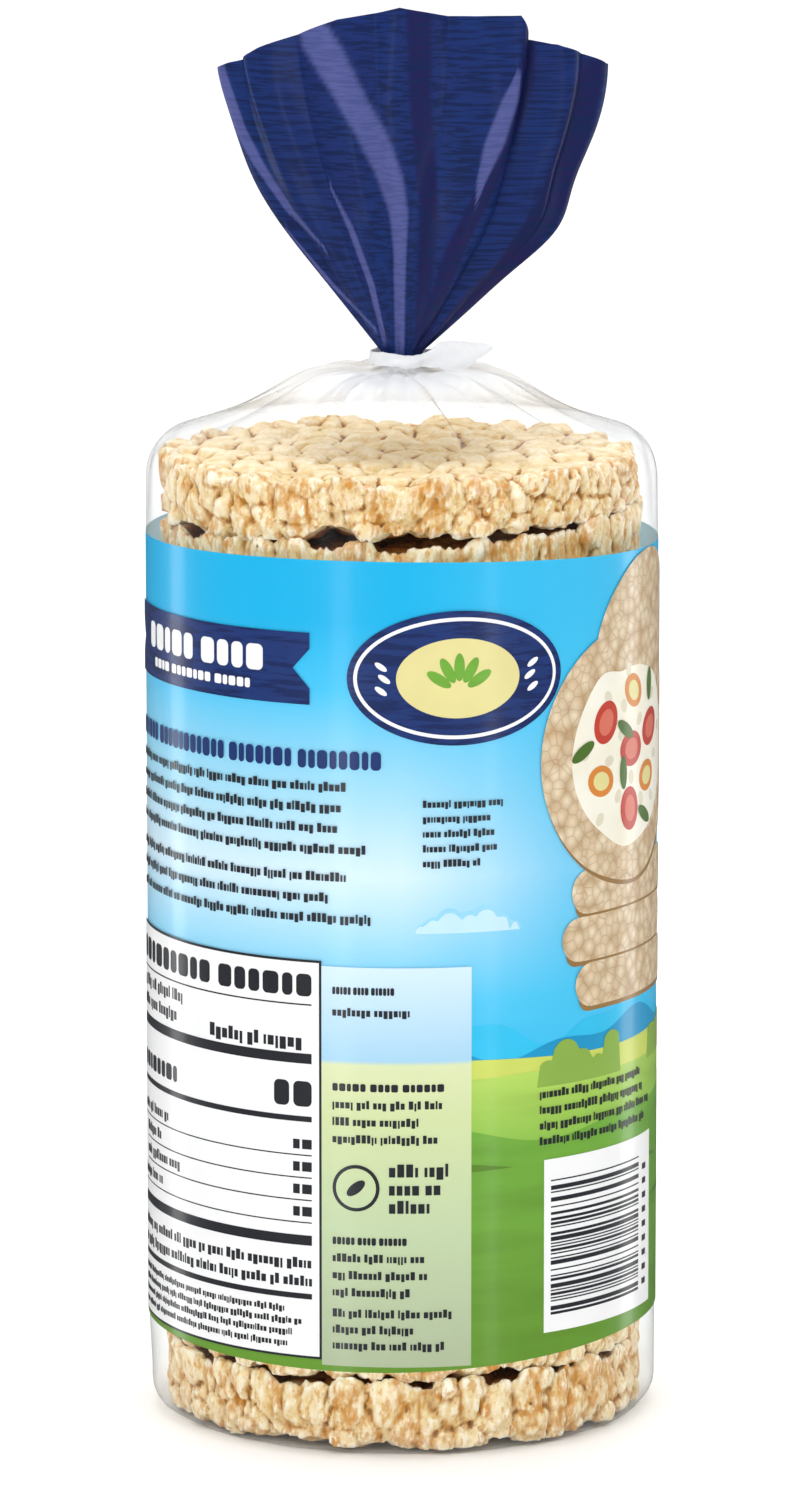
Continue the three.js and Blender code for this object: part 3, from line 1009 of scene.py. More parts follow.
def tail_folds(angle):
    """Depth of the fold and height of the mouth's edge at each angle."""
    table = np.array(TAIL_FOLDS + ((TAIL_FOLDS[0][0] + 360, *TAIL_FOLDS[0][1:]),))
    degrees = TAIL_FOLDS[0][0] + np.mod(np.degrees(angle) - TAIL_FOLDS[0][0], 360)
    index = np.clip(np.searchsorted(table[:, 0], degrees, side="right") - 1, 0, len(TAIL_FOLDS) - 1)
    start, end = table[index], table[index + 1]
    way = (degrees - start[:, 0]) / (end[:, 0] - start[:, 0])
    eased = np.where(end[:, 1] > start[:, 1], 1 - np.cos(way * math.pi / 2), np.sin(way * math.pi / 2))
    return mix(start[:, 1], end[:, 1], eased) * MM, mix(start[:, 2], end[:, 2], way) * MM


def tail_row(share, angle):
    """A row of the tail's outer face, at a share of the way from the neck to the mouth."""
    curl = mix(*TAIL_CURL, (1 + np.sin(angle)) / 2)
    spread = 1 - (1 - share) ** curl
    depth, rise = tail_folds(angle)
    pleat = 0.00035 * (1 - spread) * np.cos(14 * angle) - depth * spread
    swell = sum(
        bulge * math.exp(-(((share - place) / width) ** 2)) * smooth(0.4, 1, side * np.sin(angle))
        for side, bulge, place, width in TAIL_SWELLS
    )
    ripple = np.sin(23 * angle + 3 * np.sin(4 * angle + 5 * share)) * 0.00014 * spread
    ripple += np.sin(9 * angle + 7 * share) * 0.0003 * share
    wide = mix(NECK_RADIUS, TAIL_HALF_WIDTH, spread) + pleat + ripple + swell
    deep = mix(NECK_RADIUS, TAIL_HALF_DEPTH, spread) + pleat + ripple
    return np.stack([
        TAIL_CENTRE * spread + wide * np.sin(angle), -deep * np.cos(angle), TAIL_FOOT + rise * share,
    ], axis=-1)


def streaks(points, bands):
    """How far each point lies inside one of the bands, from 0 to 1."""
    height = (points[:, 2] - TAIL_FOOT) / MM
    inside = np.zeros(len(points))
    for band in bands:
        x, level, half = np.array(sorted(band, key=lambda knot: knot[1])).T
        away = np.abs(points[:, 0] / MM - np.interp(height, level, x))
        reach = np.interp(height, level, half)
        ends = smooth(level[0] - 1.5, level[0], height) * (1 - smooth(level[-1], level[-1] + 1.5, height))
        inside = np.maximum(inside, (1 - smooth(reach * 0.7, reach * 1.1 + 0.15, away)) * ends)
    return inside


def build_tail(settings):
    """The printed tail: thin film from the neck to the mouth and down again inside."""
    angle = np.arange(TAIL_COLUMNS) / TAIL_COLUMNS * TURN
    shares = np.linspace(0, 1, TAIL_ROWS) ** 1.15
    outer = np.stack([tail_row(share, angle) for share in shares])
    along = np.roll(outer, -1, axis=1) - np.roll(outer, 1, axis=1)
    up = np.gradient(outer, axis=0)
    inward = -np.cross(along, up)
    inward /= np.linalg.norm(inward, axis=2, keepdims=True)
    inner = outer + inward * settings.tail_wall
    floor = int(np.searchsorted(shares, TAIL_FLOOR))
    foot = TAPE_LOW.z + 0.0012
    rows = [np.array([[0, 0, foot]]), on_circle(NECK_RADIUS * 0.97, angle, foot)]
    rows += list(outer)
    rows += list(inner[::-1][: len(shares) - floor])
    rows.append(inner[floor].mean(axis=0, keepdims=True))
    mesh = ring_mesh(rows)
    uv = mesh.uv_layers.new(name="film")
    points = points_of(mesh)
    front = points[:, 1] < 0.002
    # the painted sheen and painted shade, on the front only
    set_attribute(mesh, "pale", streaks(points, SHEEN_BANDS) * front)
    set_attribute(mesh, "dark", streaks(points, SHADE_BANDS) * front)
    bearing = np.arctan2(points[:, 0], -points[:, 1]) * TAIL_UV_RADIUS
    loops = numbers(mesh.loops, "vertex_index", kind=int)
    starts = numbers(mesh.polygons, "loop_start", kind=int)
    across = bearing[loops]
    face_of_loop = np.repeat(np.arange(len(starts)), numbers(mesh.polygons, "loop_total", kind=int))
    widest = np.maximum.reduceat(across, starts)
    seam = (widest[face_of_loop] - across) > TAIL_UV_RADIUS * math.pi
    across = np.where(seam, across + TAIL_UV_RADIUS * TURN, across)
    uv.data.foreach_set("uv", np.stack([across, points[loops, 2]], axis=1).astype(np.float32).ravel())
    add_piece("printed_tail", mesh, tail_material(settings), "printed_film", ["bag"], sharp=60)


# ---------------------------------------------------------------- tape

# The tape's tab from its tip to the neck, in millimetres: x, y, lower and upper edge above the tape's foot.
TAPE_TAB = (
    (17.7, -2.0, 3.3, 3.9), (16.9, -2.2, 2.8, 4.3), (15.7, -2.4, 1.9, 4.6), (13.4, -2.9, 0.3, 4.9),
    (11.7, -3.3, -0.7, 5.1), (9.4, -3.8, -1.0, 5.2), (8.4, -4.0, -0.7, 5.3), (7.4, -4.2, -0.1, 5.0),
    (6.0, -4.4, 0.2, 3.9), (4.8, -4.5, 0.3, 3.1),
)
TAPE_TURNS = (-48, -345)  # degrees between which the tape goes round the neck
TAPE_RADIUS = 0.0062
TAPE_LOW_EDGE, TAPE_HIGH_EDGE = 0.3, 2.9  # millimetres above the tape's foot
TAPE_ROWS = 7
# How ragged the tape's edges are: depth and size of the tears, for the lower and the upper edge.
TAPE_TEARS = (((0.00022, 0.0016), (0.00014, 0.0006)), ((0.00012, 0.0019), (0.00008, 0.0006)))


def build_tape(settings):
    """A strip of tape: in from the tab's tip, across the neck's front, round it and out again."""
    foot = STACK_TOP + 0.0156
    turns = np.linspace(*np.radians(TAPE_TURNS), 84)
    swell = TAPE_RADIUS + 0.0002 * np.sin(3 * turns)
    ring = np.stack([swell * np.cos(turns), swell * np.sin(turns), TAPE_LOW_EDGE + 0.15 * np.sin(2 * turns),
                     TAPE_HIGH_EDGE + 0.25 * np.sin(3 * turns + 2)], axis=1)
    ways = np.linspace(0, 1, 40)
    table = np.array(TAPE_TAB) * (MM, MM, 1, 1)
    knots = np.linspace(0, 1, len(table))
    front = np.stack([np.interp(ways, knots, table[:, k]) for k in range(4)], axis=1)
    back = front[::-1] * (0.99, 1, 1, 1) + (0, settings.thickness * 1.1, 0.1, -0.15)
    back = back[back[:, 0] > 0.0085]
    route = np.concatenate([front, ring, back])
    path = route[:, :2]
    walk = np.concatenate([[0], np.cumsum(np.hypot(*np.diff(path, axis=0).T))])
    spots = np.stack([walk, np.zeros_like(walk), np.zeros_like(walk)], axis=1)
    edges = []
    for column, tears in enumerate(TAPE_TEARS):
        edge = route[:, 2 + column] * MM
        for number, (depth, size) in enumerate(tears):
            edge = edge + depth * lattice_noise(spots, size, 3 + 2 * column + number)
        edges.append(edge)
    low, high = edges
    tangent = np.gradient(path, axis=0)
    tangent /= np.linalg.norm(tangent, axis=1, keepdims=True)
    normal = np.stack([tangent[:, 1], -tangent[:, 0]], axis=1)
    levels = np.linspace(0, 1, TAPE_ROWS)
    half = settings.thickness / 2
    columns = []
    for i in range(len(path)):
        column = []
        for side, order in ((half, levels), (-half, levels[::-1])):
            for level in order:
                wave = 0.00014 * math.sin(7 * level + walk[i] * 500)
                column.append((*(path[i] + normal[i] * (side + wave)), foot + mix(low[i], high[i], level)))
        columns.append(np.array(column))
    start, end = columns[0].mean(axis=0, keepdims=True), columns[-1].mean(axis=0, keepdims=True)
    mesh = ring_mesh([start, *columns, end])
    outward(mesh)
    add_piece("neck_tape_strip", mesh, tape_material(settings), "tape", ["neck_tape"], sharp=50)


def outward(mesh):
    """Turns a closed mesh's faces out."""
    work = bmesh.new()
    work.from_mesh(mesh)
    bmesh.ops.recalc_face_normals(work, faces=work.faces)
    work.to_mesh(mesh)
    work.free()


# ---------------------------------------------------------------- print

# The print's places are in millimetres: along the bag's girth from its front towards the right, and up from
# its foot. A field is three arrays: places along the girth, and the field's lower and upper edge there.
SLEEVE_STEP = 0.00004  # how far each layer of print stands over the one below
SLEEVE_WALL = 0.00003
SLEEVE_COLUMNS, SLEEVE_ROWS = 240, 25
FIELD_LIFT = 0.00005  # how far the printed fields start above the sleeve's foot
# How the sleeve's edges swing round the bag: amplitude, whole number of turns and phase.
SLEEVE_FOOT = ((1.15, 2, -math.pi / 2), (1.1, 1, 0))
SLEEVE_TOP = ((-0.78, 2, -math.pi / 2), (-0.65, 1, 0))
RADIUS_MM = BAG_RADIUS / MM
HALF_GIRTH = math.pi * RADIUS_MM


def span(start, end, step=1.4):
    """Places from start to end along the girth."""
    return np.linspace(start, end, max(2, math.ceil((end - start) / step) + 1))


def box(start, end, low, high):
    """A rectangle."""
    places = span(start, end)
    return places, np.full_like(places, low), np.full_like(places, high)


def between(start, end, lower, upper):
    """A field between two edges that are functions of the place."""
    places = span(start, end)
    return places, lower(places), np.maximum(upper(places), lower(places) + 0.02)


def oval(place, height, half_width, half_height=None, lean=0.0, wobble=0.0, seed=0):
    """An ellipse turned by its lean in radians, with an uneven edge if it wobbles."""
    half_height = half_height or half_width
    reach = math.hypot(half_width * math.cos(lean), half_height * math.sin(lean))
    turn = np.linspace(0, math.pi, 9 + 2 * math.ceil(reach))
    off = -reach * np.cos(turn)
    spread = half_width * half_height / reach ** 2 * np.sqrt(np.maximum(reach ** 2 - off ** 2, 0))
    middle = off * math.sin(lean) * math.cos(lean) * (half_width ** 2 - half_height ** 2) / reach ** 2
    spots = np.stack([place + off, np.full_like(off, height), np.zeros_like(off)], axis=1)
    size = 0.45 * half_width
    upper = spread * (1 + wobble * lattice_noise(spots, size, seed)) + 0.01
    lower = spread * (1 + wobble * lattice_noise(spots, size, seed + 1)) + 0.01
    return place + off, height + middle - lower, height + middle + upper


def capsule(start, end, low, high, corner=None):
    """A bar with round ends, or with round corners where a corner's radius is given."""
    radius = min(corner or (high - low) / 2, (end - start) / 2)
    ends = radius * (1 - np.cos(np.linspace(0, math.pi / 2, 6)))
    places = np.concatenate([start + ends, span(start + radius, end - radius)[1:-1], end - ends[::-1]])
    inset = np.minimum(np.minimum(places - start, end - places), radius)
    rise = np.sqrt(np.maximum(radius ** 2 - (radius - inset) ** 2, 0)) + 0.01 - radius + (high - low) / 2
    return places, (low + high) / 2 - rise, (low + high) / 2 + rise


def bank(foot, *puffs):
    """A bank of round puffs on a level foot; a puff is a place, a height and a radius."""
    start = min(place - radius for place, _, radius in puffs)
    end = max(place + radius for place, _, radius in puffs)
    places = span(start, end, 0.7)
    top = np.full_like(places, foot + 0.05)
    for place, height, radius in puffs:
        inside = np.maximum(radius ** 2 - (places - place) ** 2, 0)
        top = np.where(inside > 0, np.maximum(top, height + np.sqrt(inside)), top)
    return places, np.full_like(places, foot), top


def word_row(start, end, low, height, seed, longest=9.0):
    """A row of small words, each a run of plain upright blocks."""
    draw = np.random.default_rng(seed)
    blocks = []
    while start < end - 1.2 * height:
        stop = min(start + draw.uniform(0.25, 1) * longest, end)
        while start < stop - 0.3 * height:
            wide = min(height * draw.choice((0.3, 0.52, 0.58, 0.64, 0.7)), stop - start)
            tail, crown = draw.choice(((0, 0), (0, 0), (0, 0.35), (0.3, 0))) * height
            blocks.append(box(start, start + wide, low - tail, low + height + crown))
            start += wide + 0.2 * height
        start += 0.45 * height
    return blocks


def heading_row(start, end, low, height, counts):
    """A row of larger words from start to end, each of so many round-cornered blocks."""
    blocks = []
    for number, count in enumerate(counts):
        blocks += [(1 + 0.24 * math.sin(2.4 * k + number), 0.27) for k in range(count)]
        blocks[-1] = (blocks[-1][0], 0.85)
    scale = (end - start) / (sum(wide + gap for wide, gap in blocks) - blocks[-1][1])
    row = []
    for wide, gap in blocks:
        row.append(capsule(start, start + wide * scale, low, low + height, 0.22 * height))
        start += (wide + gap) * scale
    return row


def words(start, end, top, rows, height, pitch, seed, slack=0.3):
    """Rows of word bars under each other, with uneven ends."""
    draw = np.random.default_rng(seed)
    bars = []
    for row in range(rows):
        ragged = end - draw.uniform(0, slack) * (end - start)
        bars += word_row(start, ragged, top - row * pitch - height, height, seed * 50 + row)
    return bars


def print_mesh(fields):
    """Thin closed plates bent round the bag, one for each layer and field."""
    vertices, faces = [], []
    for layer, (places, low, high) in fields:
        outer = BAG_RADIUS + SLEEVE_STEP * layer
        first = len(vertices)
        for place, bottom, top in zip(places / RADIUS_MM, low * MM, high * MM):
            sine, cosine = math.sin(place), math.cos(place)
            for radius, height in (
                (outer, bottom), (outer, top), (outer - SLEEVE_WALL, top), (outer - SLEEVE_WALL, bottom),
            ):
                vertices.append((radius * sine, -radius * cosine, height))
        last = first + 4 * (len(places) - 1)
        for start in range(first, last, 4):
            for k in range(4):
                following = (k + 1) % 4
                faces.append((start + following, start + k, start + 4 + k, start + 4 + following))
        faces.append((first, first + 1, first + 2, first + 3))
        faces.append((last + 3, last + 2, last + 1, last))
    mesh = bpy.data.meshes.new("print")
    mesh.from_pydata(vertices, [], faces)
    return mesh


def build_sleeve(settings):
    """The printed sky, as a closed sleeve."""
    angle = np.arange(SLEEVE_COLUMNS) / SLEEVE_COLUMNS * TURN
    outer = BAG_RADIUS + SLEEVE_STEP
    foot = sleeve_edge(settings.low, SLEEVE_FOOT)(angle * RADIUS_MM) * MM
    top = sleeve_edge(settings.high, SLEEVE_TOP)(angle * RADIUS_MM) * MM
    levels = [mix(foot, top, share) for share in np.linspace(0, 1, SLEEVE_ROWS)]
    rows = [on_circle(outer, angle, level) for level in levels]
    rows += [on_circle(outer - SLEEVE_WALL, angle, level) for level in levels[::-1]]
    mesh = ring_mesh(rows, looped=True)
    set_attribute(mesh, "backing", np.repeat([0, 1], len(levels) * len(angle)))
    add_piece("print_sky", mesh, sky_material(settings), "printed_film", ["bag"], sharp=30)


PANEL, FACE, TEXT = 8, 9, 10  # layers of print over the country's 2 to 7; finer details lie above them
TABLE_FRAME, TABLE_MARGIN = 0.5, 2
ENTRY_PITCH, ENTRY_HEIGHT = 4.45, 1.5
NOTE_MARK = 4.6  # radius of the round mark among the notes


class Print:
    """Collects the fields of each ink, by layer."""

    def __init__(self):
        self.inks = {}

    def add(self, ink, layer, *fields):
        """Adds fields of one ink on one layer."""
        self.inks.setdefault(ink, []).extend((layer, field) for field in fields)

    def text(self, *fields):
        """Adds dark fields on the layer for text and rules."""
        self.add("black", TEXT, *fields)


def wave(height, *swings):
    """An edge round the bag from a height and swings of amplitude, whole number of turns and phase."""

    def edge(places):
        heights = np.full_like(places, height)
        for swing, turns, phase in swings:
            heights += swing * np.sin(turns * places / RADIUS_MM + phase)
        return heights

    return edge


def sleeve_edge(height, swings):
    """The sleeve's lower or upper edge, level with a height in metres at the front's middle."""
    return wave(height / MM + swings[0][0], *swings)


CLOUD_PUFFS = (  # place, height and radius in a cloud of full size
    (-19, 1.0, 2.2), (-14, 2.4, 3.6), (-7.5, 4.0, 5.4), (0.5, 3.4, 4.6), (7, 4.6, 5.6), (13.5, 2.4, 3.9),
    (19, 0.8, 2.4),
)


def print_country(sheet, low):
    """Fields, hills and clouds all round the bag."""
    far = wave(84.5, (2.6, 7, 0.4), (1.2, 17, 1.0))
    near = wave(81.5, (2.0, 5, 2.4), (1.3, 12, 0.2))
    crop = wave(78.6, (0.5, 4, 1.0))
    lime = wave(74.5, (1.3, 3, 0.5), (0.5, 9, 2.0))
    green = wave(65.0, (2.2, 3, 2.6), (0.9, 8, 0.3))
    foot = sleeve_edge(low, SLEEVE_FOOT)
    for ink, layer, edge in (
        ("hill_pale", 2, far), ("hill_blue", 3, near), ("crop_yellow", 4, crop), ("lime", 5, lime),
        ("green", 6, green),
    ):
        for quarter in range(4):
            start = -HALF_GIRTH + quarter * HALF_GIRTH / 2
            sheet.add(ink, layer, between(start, start + HALF_GIRTH / 2, foot, edge))
    for number in range(7):
        start = -150 + 44 * number + 6 * math.sin(2.1 * number)
        level = 58.5 - 6.5 * (number % 3)
        places, lower, _ = between(start, start + 40, wave(level, (1.6, 3, 1.2 + number)), wave(level))
        sheet.add("furrow", 7, (places, lower, lower + 0.02 + 2.4 * np.sin((places - start) / 40 * math.pi)))
    for centre, count in ((-128, 6), (-84, 4), (30, 5), (66, 5), (112, 7)):
        sheet.add("bush", 6, bank(72.5, *(
            (centre + 4.4 * k, 76.6 + 1.6 * math.sin(2.3 * k + centre), 2.6 + 0.9 * math.sin(1.7 * k))
            for k in range(count)
        )))
    for place, level, size in (
        (13, 104.5, 0.5), (92, 158, 1.0), (110, 126, 0.6), (-104, 150, 1.0), (-118, 112, 0.6),
        (132, 108, 0.7),
    ):
        for ink, layer, share in (("cloud", 2, 1.0), ("cloud_pale", 3, 0.8)):
            part = share * size
            sheet.add(ink, layer, bank(level - 0.6 * part, *(
                (place + size * x, level + part * rise, part * radius) for x, rise, radius in CLOUD_PUFFS
            )))


def print_badge(sheet, place, height, size):
    """A plain oval badge with a fan of grains."""
    for ink, layer, wide, tall in (
        ("navy", PANEL, 24, 14.5), ("white", FACE, 22.6, 13.1), ("navy", TEXT, 21.8, 12.3),
        ("gold", TEXT + 1, 13.5, 8.6),
    ):
        sheet.add(ink, layer, oval(place, height, wide * size, tall * size))
    for step in range(-2, 3):
        lean = math.pi / 2 - 0.5 * step
        spot = place + 5.2 * size * math.cos(lean)
        rise = height - 3.2 * size + 5.6 * size * math.sin(lean)
        sheet.add("green", 12, oval(spot, rise, 3.0 * size, 1.15 * size, lean))
    for side in (-1, 1):
        sheet.add("white", 11, *(
            oval(place + side * (16 + 0.7 * abs(k)) * size, height + 2.6 * k * size, 1.5 * size, 0.6 * size,
                 0.6 * side)
            for k in (-1, 0, 1)
        ))


def print_ribbon(sheet, start, end, low, high):
    """A dark ribbon with white bars where a title would stand."""
    notch = (high - low) / 2
    middle = (low + high) / 2
    sheet.add("navy", PANEL, box(start + notch * 0.5, end - notch * 0.5, low, high))
    for tip, root in ((start, start + notch * 0.5), (end, end - notch * 0.5)):
        places = np.linspace(min(tip, root), max(tip, root), 5)
        away = np.abs(places - root) / abs(tip - root)
        sheet.add("navy", PANEL, (places, middle + away * notch * 0.55, np.full_like(places, high)))
        sheet.add("navy", PANEL, (places, np.full_like(places, low), middle - away * notch * 0.55))
    inset = notch + 3
    sheet.add("white", FACE, *heading_row(start + inset, end - inset, middle - 1.0, notch * 0.72, (5, 4)))
    inset *= 1.3
    row = heading_row(start + inset, end - inset, middle - notch * 0.66, notch * 0.26, (4, 7, 5))
    sheet.add("white", FACE, *row)


def print_table(sheet, start, end, low, high):
    """A white panel ruled like a table, with bars for its entries."""
    sheet.add("black", PANEL, box(start, end, low, high))
    face = start + TABLE_FRAME, end - TABLE_FRAME, low + TABLE_FRAME, high - TABLE_FRAME
    sheet.add("white", FACE, box(*face))
    left, right = start + TABLE_MARGIN, end - TABLE_MARGIN
    sheet.text(*heading_row(left, right, high - 7.2, 4.4, (9, 6)))
    rules = ((high - 9.0, 0.3), (high - 20.5, 2.0), (high - 32.0, 1.1), (low + 22.5, 2.0), (low + 11.8, 1.1))
    sheet.text(*(box(left, right, level, level + thick) for level, thick in rules))
    sheet.text(*words(left, left + 24, high - 10.8, 2, 1.7, 4.0, 3))
    sheet.text(*word_row(right - 24, right, high - 17.4, 1.9, 4))
    sheet.text(*heading_row(left, left + 21, high - 29.0, 3.2, (8,)))
    sheet.text(*heading_row(right - 8, right, high - 29.0, 5.0, (2,)))
    row = high - 37.4
    number = 0
    while row > low + 26:
        inset = 2.5 if number % 3 else 0
        entry_end = left + 17 + 5 * math.sin(4.0 * number)
        sheet.text(*word_row(left + inset, entry_end, row, ENTRY_HEIGHT, 20 + number))
        for near, far in ((right - 3.9, right - 2.5), (right - 2.0, right)):
            sheet.text(box(near, far, row, row + 1.9))
        sheet.text(box(left + inset, right, row - 1.35, row - 1.1))
        row -= ENTRY_PITCH
        number += 1
    for level in (low + 18.0, low + 14.4):
        sheet.text(*word_row(left, right, level, ENTRY_HEIGHT, seed=int(level)))
    sheet.text(*words(left, right, low + 10.0, 4, 0.95, 2.3, 9, 0.12))


def print_notes(sheet, start, end, low, high):
    """A pale panel with groups of small bars."""
    sheet.add("veil", PANEL, box(start, end, low, high))
    left, right = start + 2.2, end - 3
    for level, share in ((high - 5.4, 0.5), (high - 24.4, 0.9), (high - 54.8, 0.6)):
        sheet.text(*heading_row(left, left + share * (right - left), level, 1.5, (5, 4, 6)))
    for top, rows, height, pitch, seed in (
        (high - 8.4, 1, 1.2, 4.0, 31), (high - 26.6, 3, 1.2, 3.4, 32), (high - 57, 3, 1.2, 3.4, 33),
        (low + 11, 3, 1.2, 3.2, 34),
    ):
        sheet.text(*words(left, right, top, rows, height, pitch, seed, 0.4))
    mark, middle = left + NOTE_MARK, high - 43.5
    sheet.text(oval(mark, middle, NOTE_MARK))
    sheet.add("veil", TEXT + 1, oval(mark, middle, NOTE_MARK - 0.7))
    sheet.add("black", TEXT + 2, oval(mark, middle, 2.2, 1.0, 0.7))
    sheet.text(*words(left + 11, right, middle + 4.2, 3, 1.9, 3.6, 36, 0.3))


def print_stripes(sheet, start, end, low, high):
    """A white block of level stripes of several weights."""
    sheet.add("white", FACE, box(start, end, low, high))
    draw = np.random.default_rng(12)
    level = low + 3.4
    while level < high - 4.2:
        thick = draw.choice((0.28, 0.28, 0.55, 0.85))
        sheet.text(box(start + 1.6, end - 6.5, level, level + thick))
        level += thick + draw.choice((0.32, 0.32, 0.6, 0.9))
    for level in np.arange(low + 4, high - 5, 2.9):
        sheet.text(box(end - 4.6, end - 2.6, level, level + 1.2))


def on_round(place, height, reach, turn):
    """The point at a reach and a turn from another."""
    return place + reach * math.cos(turn), height + reach * math.sin(turn)


def print_snack(sheet, place, foot, size):
    """Pictured cakes: a short pile seen from the side and a topped one that stands before it."""
    wide = 21 * size
    for number in range(3):
        low = foot + 9.2 * size * number
        shift = (1.6, -1.8, 0.6)[number] * size
        start, end = place - wide + shift + 4, place + wide + shift + 4
        sheet.add("puffed", PANEL, capsule(start, end, low, low + 8.7 * size))
        sheet.add("seam", 7, capsule(start + 1, end - 1, low - 0.9, low + 4))
    centre, height, radius = place + 1.5 * size, foot + 49 * size, 25.5 * size
    behind = centre + 9 * size, height + 17 * size
    sheet.add("puffed", PANEL, oval(*behind, radius * 0.82, wobble=0.03, seed=8))
    sheet.add("seam", FACE, oval(centre + 0.6, height - 0.7, radius * 1.012, wobble=0.02, seed=3))
    sheet.add("puffed", TEXT, oval(centre, height, radius, wobble=0.02, seed=3))
    sheet.add("cream", 11, oval(centre + 0.8, height - 0.6, radius * 0.74, wobble=0.13, seed=14))
    for number in range(22):
        turn = 2.4 * number
        spot, rise = on_round(centre, height, radius * 0.66 * math.sqrt((number + 0.5) / 22), turn)
        sheet.add("curd", 12, oval(spot, rise, radius * 0.055, radius * 0.04, turn))
    for angle, reach, kind in (
        (0.3, 0.40, "red"), (1.45, 0.45, "orange"), (2.5, 0.42, "red"), (3.6, 0.44, "orange"),
        (4.7, 0.46, "red"), (5.6, 0.40, "orange"), (0.0, 0.02, "red"),
    ):
        spot, rise = on_round(centre, height, radius * reach, angle)
        big = radius * (0.17 if kind == "red" else 0.15)
        sheet.add(kind, 13, oval(spot, rise, big, big * 0.8, angle * 1.7))
        inner = "gold" if kind == "orange" else "pink"
        sheet.add(inner, 14, oval(spot, rise, big * 0.62, big * 0.48, angle * 1.7))
    for angle, reach in ((0.9, 0.58), (2.0, 0.18), (3.05, 0.6), (4.15, 0.2), (5.15, 0.6)):
        spot, rise = on_round(centre, height, radius * reach, angle)
        sheet.add("leaf", 15, oval(spot, rise, radius * 0.13, radius * 0.05, angle + 0.6))


INKS = {  # each ink's material and what it is made from: name, screen codes, and ends in millimetres
    "hill_pale": (ink_material, "hill pale ink", "2ac3f1"),
    "hill_blue": (ink_material, "hill blue ink", "0e9ccf"),
    "crop_yellow": (ink_material, "crop yellow ink", "cfdc64"),
    "lime": (field_material, "lime ink", "b6d960", "8fc24a", 62, 75),
    "green": (field_material, "green ink", "74b03c", "689a2e", 16, 66),
    "furrow": (ink_material, "furrow ink", "5d8924"),
    "bush": (ink_material, "bush ink", "8fb54a"),
    "cloud": (ink_material, "cloud ink", "9adcf7"),
    "cloud_pale": (ink_material, "pale cloud ink", "c9edfb"),
    "navy": (navy_ink_material, "navy ink"),
    "heading": (ink_material, "heading ink", "1a3572"),
    "white": (ink_material, "white ink", "fafafa", "f4f4f4"),
    "black": (ink_material, "black ink", "2b2d33"),
    "veil": (veil_material, "pale panel ink"),
    "gold": (ink_material, "gold ink", "e9df9a"),
    "puffed": (pictured_cake_material, "pictured cake ink", "ecdcbd", "b08c5c"),
    "seam": (ink_material, "pictured shade ink", "9c7846"),
    "cream": (ink_material, "pictured spread ink", "fbf8ea", "ece4c4"),
    "curd": (ink_material, "pictured curd ink", "e6dfc6"),
    "red": (ink_material, "pictured red ink", "c9402f"),
    "pink": (ink_material, "pictured pink ink", "de7560"),
    "orange": (ink_material, "pictured orange ink", "e08a35"),
    "leaf": (ink_material, "pictured leaf ink", "54762f"),
}


def build_print(settings):
    """The whole print: the sleeve, then one piece for each ink."""
    build_sleeve(settings)
    sheet = Print()
    print_country(sheet, settings.low + FIELD_LIFT)
    print_ribbon(sheet, -76, -18, 148.5, 162.5)
    print_badge(sheet, 11, 154, 0.9)
    print_snack(sheet, 52, 87, 1.0)
    sheet.add("heading", PANEL, *heading_row(-74, -4, 136.2, 3.6, (6, 11, 7, 8)))
    for top, rows, seed in ((133.2, 4, 62), (115.6, 3, 63)):
        sheet.add("black", PANEL, *words(-74, -4, top, rows, 1.3, 4.05, seed, 0.15))
    sheet.add("black", PANEL, *words(4, 20, 130, 5, 1.05, 2.9, 65, 0.3))
    print_table(sheet, -76, -15.7, 19.6, 98.6)
    print_notes(sheet, -15.7, 13.5, 18.6, 97.6)
    print_stripes(sheet, 29, 65, 23.5, 58)
    sheet.add("black", PANEL, *words(28, 66, 71.5, 4, 1.2, 3.1, 66, 0.2))
    back = HALF_GIRTH
    print_badge(sheet, back - 2, 160, 1.05)
    print_ribbon(sheet, back - 38, back + 34, 127, 142)
    print_snack(sheet, back, 29, 1.05)
    for ink, (maker, *values) in INKS.items():
        mesh = print_mesh(sheet.inks[ink])
        add_piece(f"print_{ink}", mesh, maker(*values), "printed_film", ["bag"], sharp=30)


# ---------------------------------------------------------------- stage

FLOOR_REACH, WALL_BEND, WALL_HEIGHT = 4.2, 0.8, 4.0
FLOOR_DROP = 0.0001  # the floor lies this far under the pack, so that their faces don't meet
STAGE_COLUMNS = 96
WORLD_LIGHT = 0.09
LAMP_AIM = Vector((0, 0, 0.15))
LAMPS = (  # name, place, width, height, watts
    ("key", (-1.0, -1.8, 0.9), 0.9, 1.3, 9.5),
    ("fill", (1.2, -1.7, 0.8), 0.9, 1.3, 6),
    ("strip_left", (-0.95, 0.52, 0.12), 0.22, 1.0, 2.2),
    ("strip_right", (0.95, 0.58, 0.12), 0.22, 1.0, 2.2),
    ("card_left", (-0.20, -0.42, 0.02), 0.07, 0.40, 0.25),
    ("card_right", (0.30, -0.38, 0.02), 0.05, 0.40, 0.15),
    ("top", (0.0, -0.1, 1.7), 1.2, 1.2, 17),
    ("wash_back", (0.0, 2.4, 2.5), 3.2, 2.4, 72),
    ("wash_left", (-2.5, 0.0, 2.5), 2.4, 3.0, 27),
    ("wash_right", (2.5, 0.0, 2.5), 2.4, 3.0, 27),
    ("wash_front", (0.0, -2.5, 2.5), 3.0, 2.4, 24),
)


